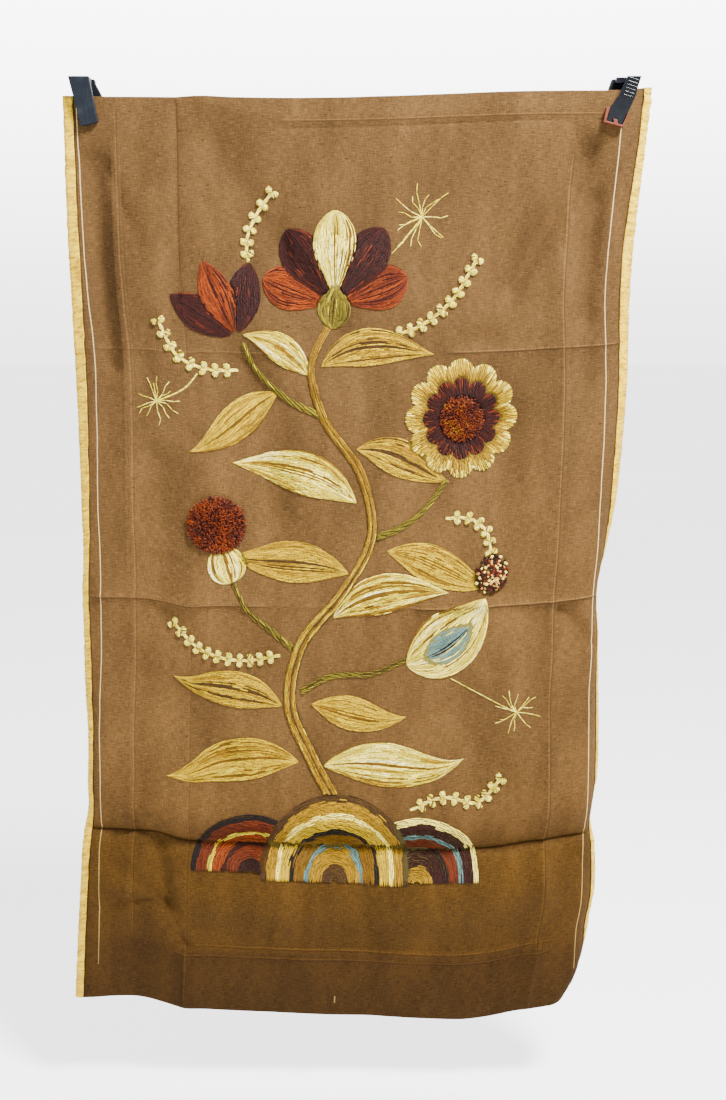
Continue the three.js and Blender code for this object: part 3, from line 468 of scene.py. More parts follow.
class Graph:
    """A new material with one Principled shader, and short ways to add nodes to it."""

    def __init__(self, name, roughness, **constants):
        self.material = bpy.data.materials.new(name)
        self.material.use_nodes = True
        self.tree = self.material.node_tree
        self.shader = self.tree.nodes["Principled BSDF"]
        self.shader.inputs["Roughness"].default_value = roughness
        for socket, value in constants.items():
            self.shader.inputs[socket.replace("_", " ")].default_value = value

    def node(self, kind, settings=None, inputs=None, output=0):
        """Adds a node, sets its settings and then its sockets, and gives one of its outputs."""
        made = self.tree.nodes.new(kind)
        for key, value in (settings or {}).items():
            if key == "stops":
                self._set_stops(made.color_ramp, value)
            else:
                setattr(made, key, value)
        for key, value in (inputs or {}).items():
            if isinstance(value, Wire):
                self.tree.links.new(value.socket, made.inputs[key])
            else:
                made.inputs[key].default_value = value
        return Wire(self, made.outputs[output])

    def _set_stops(self, ramp, stops):
        while len(ramp.elements) < len(stops):
            ramp.elements.new(1.0)
        for element, (place, colour) in zip(ramp.elements, stops):
            element.position = place
            element.color = (*colour, 1.0)

    def maths(self, operation, *values):
        return self.node("ShaderNodeMath", {"operation": operation}, dict(enumerate(values)))

    def near(self, value, outer, inner):
        """1 where value is closer to 0 than inner, and 0 past outer."""
        return self.between(self.maths("ABSOLUTE", value), outer, inner)

    def between(self, value, low, high):
        """0 where value is below low and 1 above high, or the other way round."""
        settings = {"interpolation_type": "SMOOTHSTEP"}
        return self.node("ShaderNodeMapRange", settings, {0: value, 1: low, 2: high, 3: 0.0, 4: 1.0})

    def mix(self, factor, first, second, blend="MIX"):
        values = {0: factor, 6: first, 7: second}
        for key in (6, 7):
            if not isinstance(values[key], Wire):
                values[key] = (*values[key], 1.0)
        settings = {"data_type": "RGBA", "blend_type": blend}
        return self.node("ShaderNodeMix", settings, values, output=2)

    def ramp(self, factor, stops):
        return self.node("ShaderNodeValToRGB", {"stops": stops}, {0: factor})

    def noise(self, where, scale, detail=2.0, roughness=0.5):
        inputs = {"Vector": where, "Scale": scale, "Detail": detail, "Roughness": roughness}
        return self.node("ShaderNodeTexNoise", {}, inputs)

    def place(self, name):
        """The piece's own UV map, in millimetres."""
        return self.node("ShaderNodeUVMap", {"uv_map": name})

    def object_place(self):
        return self.node("ShaderNodeTexCoord", {}, {}, output="Object")

    def streaks(self, where, scale, detail=2.0, roughness=0.5):
        """Noise that is stretched: its scale is given for each direction."""
        settings = {"operation": "MULTIPLY"}
        place = self.node("ShaderNodeVectorMath", settings, {0: where, 1: scale})
        return self.noise(place, 1.0, detail, roughness)

    def parts(self, where):
        """The first two parts of a vector."""
        split = self.node("ShaderNodeSeparateXYZ", {}, {0: where}).socket.node
        return Wire(self, split.outputs[0]), Wire(self, split.outputs[1])

    def feed(self, name, value):
        self.tree.links.new(value.socket, self.shader.inputs[name])

    def bump(self, height, strength, distance):
        normal = self.node(
            "ShaderNodeBump", {}, {"Strength": strength, "Distance": distance, "Height": height}
        )
        self.feed("Normal", normal)


# Marks in the linen's threads: how its noise is stretched and how rough it is, where it fades in, how
# strongly it shows, its tone beside the cloth's, and how far it stands up.
THREAD_MARKS = (
    ((0.1, 0.8, 1.0), 0.5, 0.64, 0.74, 0.6, 1.75, 0.9),
    ((0.8, 0.08, 1.0), 0.5, 0.67, 0.77, 0.5, 0.52, 0.0),
    ((0.24, 0.62, 1.0), 0.2, 0.715, 0.76, 0.65, 2.2, 1.4),
    ((0.16, 0.4, 1.0), 0.2, 0.735, 0.775, 0.7, 0.3, 0.8),
)

# Where the printed lines fade out from their middle, and where they end at the foot; the place of the
# short printed mark; and the ink's colour.
LINE_HALF = (0.62, 0.34)
LINE_FOOT = (1041.0, 1039.0)
FOOT_MARK = (317.0, 1064.0)
INK = "bba478"


def linen_material(settings):
    """Brown plain-weave linen. The two sets of threads are waves across and down the cloth, uneven
    in thickness, with slubs and flecks as long thin noise. On it are two printed white lines with a
    short mark at the foot, a dark line of painted shadow along the tape's inner edge, and along each
    crease a pale line of painted highlight with a dark line of painted shade beside it. Its tone
    holds painted light and shade down the cloth, palest over the middle and darkest at the foot."""
    g = Graph("brown_linen", 0.92, Specular_IOR_Level=0.06)
    flat = g.place("flat")
    s, t = g.parts(flat)
    base = tuple(settings.colour)
    across = g.streaks(flat, (0.11, 1.0, 1.0), 3.0, 0.65)
    down = g.streaks(flat, (0.95, 0.12, 1.0), 3.0, 0.65)
    cloudy = g.streaks(flat, (0.022, 0.0075, 1.0), 5.0, 0.6)
    threads = across * 0.46 + down * 0.34 + cloudy * 0.32
    colour = g.ramp(threads, [(0.43, tinted(base, 0.52)), (0.56, base), (0.7, tinted(base, 1.75))])
    pitch = 2 * math.pi / (settings.thread_pitch * 1000.0)
    warp = g.maths("SINE", (s + (across - 0.5) * 1.6) * pitch)
    weft = g.maths("SINE", (t + (down - 0.5) * 1.6) * pitch)
    weave = warp * weft * 0.5 + across * 1.1 + down * 0.9
    for scale, roughness, low, high, strength, tone, height in THREAD_MARKS:
        mark = g.between(g.streaks(flat, scale, 1.0, roughness), low, high)
        colour = g.mix(mark * strength, colour, tinted(base, tone))
        weave = weave + mark * height
    wander = (g.streaks(flat, (0.0, 0.012, 1.0)) - 0.5) * 2.2
    lines = [g.near(s - line - wander, *LINE_HALF) for line in (LEFT_LINE, RIGHT_LINE)]
    ink = g.maths("MAXIMUM", *lines) * g.between(t, *LINE_FOOT)
    mark = g.near(s - FOOT_MARK[0], 1.0, 0.6) * g.near(t - FOOT_MARK[1], 5.0, 4.4)
    border = g.node("ShaderNodeAttribute", {"attribute_name": "border"}, {}, output="Vector")
    inwards, is_front = g.parts(border)
    # Painted shadow: a dark line along the tape's inner edge.
    colour = g.mix(g.near(inwards - 0.5, 1.3, 0.4) * 0.6, colour, tinted(base, 0.32))
    ink = g.maths("MAXIMUM", ink, mark) * (g.between(across, 0.3, 0.46) * 0.35 + 0.65)
    colour = g.mix(ink * (is_front * 0.94 + 0.06), colour, tuple(linear(INK)))
    # Painted highlight and shade along each crease: a pale line on it and a dark line beside it.
    for way, place, start, end, strength in CREASE_PAINTED_LIGHT:
        axis, run, thread = (t, s, down) if way == "across" else (s, t, across)
        shown = g.between(run, start, start + 14.0) * g.between(run, end, end - 14.0)
        shown = shown * g.between(thread, 0.34, 0.56) * strength
        off = axis - place - wander * 0.7
        colour = g.mix(g.near(off - 1.7, 1.2, 0.4) * shown, colour, tinted(base, 0.42))
        colour = g.mix(g.near(off, 0.9, 0.25) * shown, colour, tinted(base, 2.3))
    # Painted light and shade down the cloth: palest over the middle, darker and browner towards the foot.
    g.feed("Base Color", g.mix(1.0, colour, g.ramp(t / CLOTH_LENGTH, PAINTED_SHADE_DOWN_CLOTH), "MULTIPLY"))
    g.bump(weave, 0.75, 0.00035)
    return g.material


def wool_material(name, twist_pitch=1.9, sheen=0.04):
    """Wool yarn. Its colour comes with each stitch, a little uneven along it, and its two plies
    are a wave that winds round the strand, with painted shade in the grooves between them."""
    g = Graph(name, 0.85, Sheen_Weight=sheen, Sheen_Roughness=0.4, Specular_IOR_Level=0.1)
    along, around = g.parts(g.place("strand"))
    colour = g.node("ShaderNodeVertexColor", {"layer_name": "wool"})
    where = g.object_place()
    mottle = g.between(g.noise(where, 620.0, 2.0), 0.3, 0.7)
    shade = g.ramp(mottle, [(0.0, (0.74, 0.72, 0.7)), (1.0, (1.12, 1.12, 1.1))])
    colour = g.mix(1.0, colour, shade, "MULTIPLY")
    ply = g.maths("SINE", (along / twist_pitch + around) * (2 * math.pi))
    # Painted shade: the bottoms of the grooves between the plies are darkened.
    unshaded_ply = g.between(ply, -1.0, -0.25)
    colour = g.mix((1.0 - unshaded_ply) * 0.26, colour, (0.05, 0.022, 0.008))
    g.feed("Base Color", colour)
    fibres = g.noise(where, 2600.0, 2.0)
    g.bump(ply * 0.7 + fibres * 0.6, 0.6, 0.00025)
    return g.material


# The paper tape's tones, from its stains to a painted highlight on its proud ridges, and the tone of its
# cracks.
TAPE_TONES = ((0.37, "7d5805"), (0.45, "ab8604"), (0.54, "c7a405"), (0.66, "e2c012"))
TAPE_CRACK = "5e3d08"


def tape_material():
    """Aged crepe paper tape: fine cross ridges with a painted highlight where it stands proud, and ochre
    stains.
    """
    g = Graph("creased_paper_tape", 0.62, Specular_IOR_Level=0.15)
    flat = g.place("flat")
    crepe = g.streaks(flat, (0.35, 2.2, 1.0), 3.0, 0.6)
    stain = g.streaks(flat, (0.07, 0.075, 1.0), 4.0, 0.62)
    creases = g.streaks(flat, (0.05, 0.32, 1.0), 3.0, 0.6)
    # The creases and crepe that the bump raises are paler too: a painted highlight on the proud ridges.
    tone = stain * 0.4 + creases * 0.42 + crepe * 0.2
    colour = g.ramp(tone, [(place, tuple(linear(code))) for place, code in TAPE_TONES])
    s, t = g.parts(flat)
    slant = g.node("ShaderNodeCombineXYZ", {}, {0: s * 0.06, 1: (t + s * 0.5) * 0.4})
    cracks = g.near(g.noise(slant, 1.0, 1.0) - 0.5, 0.04, 0.0)
    g.feed("Base Color", g.mix(cracks * 0.8, colour, tuple(linear(TAPE_CRACK))))
    g.bump(crepe * 0.7 + creases * 0.8, 0.7, 0.0004)
    return g.material


def moulding_material(name, colour, roughness, speckle=0.0, gloss=0.22, dusty=1.0):
    """Moulded plastic with a fine grain, dusty in patches and worn paler here and there."""
    g = Graph(name, roughness, Specular_IOR_Level=gloss)
    where = g.object_place()
    dust = g.between(g.noise(where, 46.0, 4.0, 0.65), 0.42, 0.72)
    grain = g.noise(where, 900.0, 2.0)
    scratch = g.streaks(where, (420.0, 420.0, 28.0), 3.0, 0.6)
    worn = g.between(scratch, 0.58, 0.74)
    dusted, rubbed = (
        tuple(min(1.0, value * factor + white * dusty) for value in colour)
        for factor, white in ((1.7, 0.016), (2.2, 0.04))
    )
    tone = g.mix(dust * 0.45, tuple(colour), dusted)
    tone = g.mix(worn * (0.25 + speckle), tone, rubbed)
    g.feed("Base Color", tone)
    g.feed("Roughness", dust * 0.16 + (roughness - 0.05) + worn * 0.08)
    g.bump(grain * 0.5 + scratch * 0.5, 0.35, 0.0002)
    return g.material


def stage_material():
    """A plain pale floor, very slightly mottled."""
    g = Graph("pale_floor", 0.9)
    tone = g.noise(g.object_place(), 0.8, 2.0)
    g.feed("Base Color", g.ramp(tone, [(0.3, (0.72, 0.72, 0.72)), (0.7, (0.75, 0.75, 0.75))]))
    return g.material


def mesh_object(name, points, faces, material, smooth=True, uv=None, uv_name="flat", colours=None):
    """A mesh object from points in metres and face rows of one length each, with an optional UV
    place for every face corner and an optional colour for every point."""
    faces = [rows for rows in faces if len(rows)]
    mesh = bpy.data.meshes.new(name)
    corners = np.concatenate([rows.ravel() for rows in faces]).astype(np.int32)
    sizes = np.concatenate([np.full(len(rows), rows.shape[1]) for rows in faces]).astype(np.int32)
    mesh.vertices.add(len(points))
    mesh.vertices.foreach_set("co", np.ascontiguousarray(points, np.float32).ravel())
    mesh.loops.add(len(corners))
    mesh.loops.foreach_set("vertex_index", corners)
    mesh.polygons.add(len(sizes))
    starts = np.concatenate([[0], np.cumsum(sizes)[:-1]]).astype(np.int32)
    mesh.polygons.foreach_set("loop_start", starts)
    mesh.polygons.foreach_set("use_smooth", np.full(len(sizes), smooth))
    mesh.update(calc_edges=True)
    if uv is not None:
        layer = mesh.uv_layers.new(name=uv_name)
        layer.data.foreach_set("uv", np.ascontiguousarray(uv, np.float32).ravel())
    if colours is not None:
        attribute = mesh.color_attributes.new("wool", "FLOAT_COLOR", "POINT")
        rgba = np.concatenate([colours, np.ones((len(colours), 1))], 1)
        attribute.data.foreach_set("color", rgba.astype(np.float32).ravel())
    mesh.validate()
    made = bpy.data.objects.new(name, mesh)
    bpy.context.scene.collection.objects.link(made)
    made.data.materials.append(material)
    return made


def attach(piece, slot, *nodes):
    """The piece rides on the part and stands for some solids, which it hides. The slot is not used."""
    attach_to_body(piece, BODY)
    if nodes:
        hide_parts(*nodes)
    return piece


def slab_faces(rows, columns, closed=False):
    """The faces of a slab: a grid of points numbered row by row, a like one behind it, numbered
    after it, and the rim that joins their borders. In a closed one the last column joins the first."""
    behind = rows * columns
    steps = np.arange(columns if closed else columns - 1)
    r, c = np.meshgrid(np.arange(rows - 1) * columns, steps, indexing="ij")
    a, b = r + c, r + (c + 1) % columns
    front = np.stack([a, a + columns, b + columns, b], -1).reshape(-1, 4)
    following, low = (steps + 1) % columns, (rows - 1) * columns
    sides = [(steps, following), (low + following, low + steps)]
    if not closed:
        down = np.arange(rows - 1) * columns
        sides += [(down + columns, down), (down + columns - 1, down + 2 * columns - 1)]
    rim = [np.stack([a, b, b + behind, a + behind], -1) for a, b in sides]
    return np.concatenate([front, front[:, ::-1] + behind, *rim])


def band_faces(first, rings, sides):
    """The four-cornered faces between closed rings of points, numbered ring by ring."""
    k = np.arange(sides)
    following = (k + 1) % sides
    return np.concatenate([
        np.stack([a + k, a + sides + k, a + sides + following, a + following], -1)
        for a in first + sides * np.arange(rings - 1)
    ])


def turned_over(quads):
    """The same faces seen from behind, each from the same first corner."""
    return quads[:, [0, 3, 2, 1]]


def grid_lines(length, step, fine_step, fine_places, reach):
    """Places from 0 to a length, a step apart, and closer near some places: they are evenly spaced
    in the running sum of a density that rises there as exp(-(d/r)^2)."""
    x = np.linspace(0, length, int(length * 4) + 1)
    near = np.max([np.exp(-(((x - place) / reach) ** 2)) for place in fine_places], axis=0)
    density = 1 / step + (1 / fine_step - 1 / step) * near
    total = np.concatenate([[0], np.cumsum((density[1:] + density[:-1]) / 2 * np.diff(x))])
    return np.interp(np.linspace(0, total[-1], int(total[-1]) + 1), total, x)


# The grid of the linen: its step across and down, the finer step at the creases and edges, how far
# that reaches round them, and where they are.
STEP_ACROSS = 5.8
STEP_DOWN = 6.2
FINE_STEP = 1.2
FINE_REACH = 5
CREASES_ACROSS = (0, 12, 50, 61, 123, 569, 579, 636, 650)
CREASES_DOWN = (0, 32, 281, 573, 866, 945, 992, 1009, 1085)


def build_linen(settings):
    """The cloth is the hung surface on a grid of the flat cloth, moved half its thickness either
    way along the direction it faces, and closed round its border. Its border attribute holds the
    distance inwards from the tape's inner edge, and 1 on the worked face."""
    columns = grid_lines(CLOTH_WIDTH, STEP_ACROSS, FINE_STEP, CREASES_ACROSS, FINE_REACH)
    rows = grid_lines(CLOTH_LENGTH, STEP_DOWN, FINE_STEP, CREASES_DOWN, FINE_REACH)
    s, t = np.meshgrid(columns, rows)
    middle, out = hung(s, t), facing(s, t)
    half = settings.thickness * 1000 / 2
    points = np.concatenate([(middle + out * half).reshape(-1, 3), (middle - out * half).reshape(-1, 3)])
    quads = slab_faces(len(rows), len(columns))
    true_s = wider_margin(s, t)
    place = np.tile(np.stack([true_s.ravel(), t.ravel()], -1), (2, 1))
    piece = mesh_object(
        "linen_cloth", points * MM, [quads], linen_material(settings), uv=place[quads.ravel()]
    )
    left_inner = hang_value("left_tape", t) + LEFT_LINE - hang_value("left_margin", t)
    right_inner = CLOTH_WIDTH - hang_value("right_tape", t)
    inwards = np.tile(np.minimum(true_s - left_inner, right_inner - true_s).ravel(), 2)
    is_front = np.repeat([1.0, 0.0], s.size)
    border = piece.data.attributes.new("border", "FLOAT_VECTOR", "POINT")
    values = np.stack([inwards, is_front, np.zeros(len(inwards))], -1)
    border.data.foreach_set("vector", values.astype(np.float32).ravel())
    return attach(piece, "linen", "linen_panel")


# The tape: its step along the edge, the finer step near its two ends, how many points its section
# has across each face, how far it lies off the cloth and off its edge, how ragged its cut is, how
# wide and long its two sets of ridges are, and over what length the upper right end is strained.
TAPE_STEP = 2.3
TAPE_FINE_STEP = 1.5
TAPE_ENDS = (30, 1060)
TAPE_END_REACH = 60
TAPE_ACROSS = 8
TAPE_CLEAR = 0.32
TAPE_EDGE_CLEAR = 0.45
TAPE_RAGGED = 0.5
TAPE_RIDGES = (7.5, 30)
TAPE_CRIMPS = (3.6, 22)
TAPE_STRAINED = 150


def build_tape(name, on_right, settings, material):
    """The tape's section is a long loop round the cloth's edge: out along the front, round the
    fold, back along the rear, and home on the inside. Cross ridges that slant a little lift it off
    the cloth, and its fold wavers in and out."""
    t = grid_lines(CLOTH_LENGTH, TAPE_STEP, TAPE_FINE_STEP, TAPE_ENDS, TAPE_END_REACH)[:, None]
    width = hang_value("right_tape" if on_right else "left_tape", t)
    near = settings.thickness * 500 + TAPE_CLEAR
    thick = settings.tape_thickness * 1000
    inset = np.concatenate([np.linspace(1, 0, TAPE_ACROSS), np.linspace(0, 1, TAPE_ACROSS)] * 2)
    is_front = np.repeat([1, -1, -1, 1], TAPE_ACROSS)
    is_outer = np.repeat([1, 0], 2 * TAPE_ACROSS)
    ragged = TAPE_RAGGED * lattice_noise(t, t * 0, 14, 1, 21) * (inset > 0.99)
    seed = 22 if on_right else 32
    from_edge = inset * width + ragged
    s = CLOTH_WIDTH - from_edge if on_right else from_edge
    t = np.broadcast_to(t, s.shape)
    slant = t + from_edge * 0.5
    ridges = np.abs(lattice_noise(slant, from_edge, *TAPE_RIDGES, seed)) ** 0.7
    ridges = ridges + 0.5 * np.abs(lattice_noise(slant * 1.1, from_edge, *TAPE_CRIMPS, seed + 1))
    strain = 0.75 + (0.7 * np.exp(-((t / TAPE_STRAINED) ** 2)) if on_right else 0.0)
    lift = near + strain * ridges * smoothstep((width + 3 - from_edge) / 4) + thick * is_outer
    edge_s, inner_s = (CLOTH_WIDTH, CLOTH_WIDTH - 6) if on_right else (0, 6)
    outwards = unit(hung(edge_s, t[:, 0]) - hung(inner_s, t[:, 0]))[:, None, :]
    beyond = (TAPE_EDGE_CLEAR + thick * is_outer + strain * ridges) * np.exp(-from_edge / 1.2)
    wraps = np.minimum(1.0, from_edge / 1.4 + 0.35)
    points = hung(s, t) + facing(s, t) * (is_front * lift * wraps)[..., None]
    points = points + outwards * beyond[..., None]
    rows, around = s.shape
    k = np.arange(around // 2 - 1)
    cap = np.stack([k, k + 1, around - 2 - k, around - 1 - k], -1)
    last = (rows - 1) * around
    quads = np.concatenate([band_faces(0, rows, around), cap, cap[:, ::-1] + last])
    if not on_right:
        quads = quads[:, ::-1]
    place = np.stack([from_edge.ravel() + (0 if on_right else 40), t.ravel()], -1)
    piece = mesh_object(name, points.reshape(-1, 3) * MM, [quads], material, uv=place[quads.ravel()])
    return attach(piece, "paper_tape", f"edge_tape_{'right' if on_right else 'left'}")


@dataclass
class Patch:
    """A worked motif on the flat cloth. place(u, v) gives s and t, with u along the stitches and v
    across them. Each lane of stitches keeps one v and has its own length; narrowing(u) is how wide
    a lane is there, and pad(u, v) is how far the stitches are raised by the padding under them."""

    place: object
    outline: np.ndarray
    lanes: np.ndarray
    lengths: np.ndarray
    narrowing: object
    pad: object
    span: tuple = (-1.0, 1.0)
    closed: bool = False


# How far apart the lanes of stitches lie: as a rule, in the hills, in a spray's stem and in its dots.
LANE_SPACING = 1.6
HILL_SPACING = 1.7
STEM_SPACING = 1.1
DOT_SPACING = 1.3

# How long a stitch is: as a rule, in a spray's stem, and at most in a dot, where one spans a lane.
STITCH_LENGTH = 12.0
STEM_STITCH = 8.0
DOT_STITCH = 20.0

# The outlines of the motifs that are already worked. Those worked later stop short of them.
WORKED = []


def inside(outline, s, t):
    """Which points lie in a closed outline: those from which a level line to the right crosses it an
    odd number of times."""
    found = np.zeros(s.shape, bool)
    near = (s > outline[:, 0].min()) & (s < outline[:, 0].max())
    near &= (t > outline[:, 1].min()) & (t < outline[:, 1].max())
    if not near.any():
        return found
    x, y = s[near][:, None], t[near][:, None]
    x0, y0 = outline[:, 0], outline[:, 1]
    x1, y1 = np.roll(x0, -1), np.roll(y0, -1)
    level = (y0 > y) != (y1 > y)
    rise = np.where(np.abs(y1 - y0) < 1e-9, 1e-9, y1 - y0)
    crossed = level & (x < x0 + (y - y0) / rise * (x1 - x0))
    found[near] = crossed.sum(1) % 2 == 1
    return found


def is_worked(s, t):
    """Which points are under a motif that is already worked."""
    found = np.zeros(s.shape, bool)
    for outline in WORKED:
        found |= inside(outline, s, t)
    return found


def domed(u, v, rise=1.5):
    """Padding that is highest along the middle of a motif: the rise times the root of one minus the
    square of v, less towards the two ends of u."""
    ends = np.clip(np.minimum(u, 1 - u) / 0.16, 0, 1) ** 0.5
    return rise * np.sqrt(np.clip(1 - 0.92 * v * v, 0, 1)) * (0.35 + 0.65 * ends)


def blade_patch(root, heading, length, width, bend=0, curl=0, belly=0.85, point=1.1):
    """A leaf or petal. Its middle line turns by bend * u + curl * u^3, and its half width is
    sin(pi * u^belly)^point."""
    steps = 160
    share = np.linspace(0, 1, steps + 1)
    middle = (share[1:] + share[:-1]) / 2
    turn = np.radians(heading + bend * middle + curl * middle ** 3)
    s_line = root[0] + np.concatenate([[0], np.cumsum(np.cos(turn))]) * length / steps
    t_line = root[1] - np.concatenate([[0], np.cumsum(np.sin(turn))]) * length / steps

    def half(u):
        return width / 2 * np.maximum(np.sin(np.pi * np.clip(u, 0, 1) ** belly), 0) ** point

    def place(u, v):
        here = np.radians(heading + bend * u + curl * u ** 3)
        off = v * half(u)
        s = np.interp(u, share, s_line) - off * np.sin(here)
        return s, np.interp(u, share, t_line) - off * np.cos(here)

    edge = np.linspace(0, 1, 25)
    upper = np.stack(place(edge, 1.0), -1)
    lower = np.stack(place(edge, -1.0), -1)
    count = max(5, int(width / LANE_SPACING))
    return Patch(
        place, np.concatenate([upper, lower[1:-1][::-1]]), np.linspace(-0.97, 0.97, count),
        np.full(count, float(length)), lambda u: np.clip(half(u) / (width / 2), 0.42, 1), domed,
    )


def smooth_line(points, count=121):
    """Points evenly spaced in share on a centripetal Catmull-Rom curve: each stretch is the cubic
    whose slopes come from the neighbouring gaps, taken to the power of a half."""
    knots = np.array(points, float)
    knots = np.concatenate([[2 * knots[0] - knots[1]], knots, [2 * knots[-1] - knots[-2]]])
    gaps = np.sqrt(np.linalg.norm(np.diff(knots, axis=0), axis=1))
    place = np.linspace(0, 1, count) * (len(points) - 1)
    i = np.minimum(place.astype(int), len(points) - 2)
    w = (place - i)[:, None]
    a, b, c, d = (knots[i + k] for k in range(4))
    g0, g1, g2 = (gaps[i + k][:, None] for k in range(3))
    m1 = ((b - a) / g0 - (c - a) / (g0 + g1) + (c - b) / g1) * g1
    m2 = ((c - b) / g1 - (d - b) / (g1 + g2) + (d - c) / g2) * g1
    return (
        b + m1 * w + (-3 * b + 3 * c - 2 * m1 - m2) * w ** 2 + (2 * b - 2 * c + m1 + m2) * w ** 3
    )


def line_tangents(line):
    return unit(np.gradient(line, axis=0))


def ribbon_patch(points, widths, rise, spacing=LANE_SPACING):
    """A stem: a smooth line with a width at each share of its length."""
    line = smooth_line(points)
    ahead = line_tangents(line)
    share = np.linspace(0, 1, len(line))
    half_widths = np.interp(share, np.linspace(0, 1, len(widths)), widths) / 2

    def place(u, v):
        off = v * np.interp(u, share, half_widths)
        s = np.interp(u, share, line[:, 0]) - off * np.interp(u, share, ahead[:, 1])
        return s, np.interp(u, share, line[:, 1]) + off * np.interp(u, share, ahead[:, 0])

    edge = np.linspace(0, 1, 61)
    outline = np.concatenate([np.stack(place(edge, 1.0), -1), np.stack(place(edge[::-1], -1.0), -1)])
    count = max(3, round(max(widths) / spacing))
    length = float(np.linalg.norm(np.diff(line, axis=0), axis=1).sum())
    return Patch(
        place, outline, np.linspace(-0.9, 0.9, count), np.full(count, length),
        lambda u: np.clip(np.interp(u, share, half_widths) / half_widths.max(), 0.55, 1),
        lambda u, v: rise * np.sqrt(np.clip(1 - 0.9 * v * v, 0, 1)),
    )


def hillock_patch(centre, base, width, rise, height=1.7):
    """A rounded hill, worked in arches: u runs over the arch and v inwards, from 0 on the outline
    to 1 near the middle of the foot. The arch is a half ellipse whose sine is raised to 0.8."""
    def place(u, v):
        angle = np.pi * (1 - u)
        size = 1 - 0.96 * v
        s = centre + width / 2 * size * np.cos(angle)
        return s, base - rise * size * np.maximum(np.sin(angle), 0) ** 0.8

    lanes = np.linspace(0.0, 0.99, int(rise / HILL_SPACING))
    arch = np.pi * math.sqrt(((width / 2) ** 2 + rise ** 2) / 2)
    outline = np.stack(place(np.linspace(0, 1, 41), 0.0), -1)
    return Patch(
        place, outline, lanes, np.maximum(arch * (1 - 0.96 * lanes), 4.0), lambda u: np.ones_like(u),
        lambda u, v: height * np.clip(v / 0.14, 0, 1) ** 0.5, span=(0.0, 1.0),
    )


def ring_patch(centre, inner, outer, petals, rise=1.7):
    """A ring of petals, worked outwards: u runs along the radius and v is the share of a turn. The
    inner and outer radius each run from a valley to a tip, as the cosine of half the petals' angle
    raised to 0.6."""
    def swell(radii, v):
        valley, tip = radii
        return valley + (tip - valley) * np.abs(np.cos(petals * np.pi * v)) ** 0.6

    def place(u, v):
        start = swell(inner, v)
        radius = start + (swell(outer, v) - start) * u
        angle = 2 * np.pi * v
        return centre[0] + radius * np.cos(angle), centre[1] - radius * np.sin(angle)

    def pad(u, v):
        petal = 0.55 + 0.45 * np.abs(np.cos(petals * np.pi * v))
        return rise * np.sin(np.pi * np.clip(u, 0.04, 0.96)) ** 0.5 * petal

    reach = (inner[0] + outer[0]) / 2
    count = int(2 * np.pi * reach / LANE_SPACING)
    lanes = np.arange(count) / count
    outline = np.stack(place(np.ones(180), np.arange(180) / 180), -1)
    return Patch(
        place, outline, lanes, swell(outer, lanes) - swell(inner, lanes),
        lambda u: np.clip((inner[0] + (outer[0] - inner[0]) * u) / reach, 0.6, 1.3), pad,
        span=(0.0, 1.0), closed=True,
    )


def dot_patch(centre, across, heading, rise):
    """A round dot of satin stitch: each lane is one stitch over a chord of the circle."""
    turn = math.radians(heading)

    def place(u, v):
        along = np.sqrt(np.clip(1 - v * v, 0, 1)) * (2 * u - 1) * across / 2
        off = v * across / 2
        s = centre[0] + along * math.cos(turn) - off * math.sin(turn)
        return s, centre[1] - along * math.sin(turn) - off * math.cos(turn)

    def pad(u, v):
        return rise * np.sqrt(np.clip((1 - v * v) * (1 - 0.8 * (2 * u - 1) ** 2), 0, 1))

    lanes = np.linspace(-0.86, 0.86, round(across / DOT_SPACING))
    angle = np.linspace(0, 2 * np.pi, 13)[:-1]
    outline = np.stack([centre[0] + across / 2 * np.cos(angle), centre[1] + across / 2 * np.sin(angle)], -1)
    return Patch(
        place, outline, lanes, across * np.sqrt(1 - lanes ** 2), lambda u: np.ones_like(u), pad,
    )


def lane_stitches(patch, stitch_length, rng):
    """Stitches end to end in every lane, staggered from lane to lane, each lapping the next a
    little. Gives the start and end of each in u, its v, and its lane's number."""
    starts, ends, lane_numbers = [], [], []
    for number, length in enumerate(patch.lengths):
        count = max(1, round(length / stitch_length))
        offset = (0.5 if number % 2 else 0.0) + rng.uniform(-0.22, 0.22)
        cuts = (np.arange(-1, count + 2) + offset + rng.uniform(-0.1, 0.1, count + 3)) / count
        cuts = np.unique(np.clip(cuts, 0, 1))
        keep = np.diff(cuts) > 0.24 / count
        starts.append(cuts[:-1][keep] - 0.7 / length)
        ends.append(cuts[1:][keep] + 0.7 / length)
        lane_numbers.append(np.full(keep.sum(), number))
    start, end = np.clip(np.concatenate(starts), 0, 1), np.clip(np.concatenate(ends), 0, 1)
    lane = np.concatenate(lane_numbers)
    return start, end, patch.lanes[lane], lane


# Where the sections of a strand lie along it, and how many corners each has.
STATIONS = np.array([0.0, 0.13, 0.37, 0.63, 0.87, 1.0])
SIDES = 4


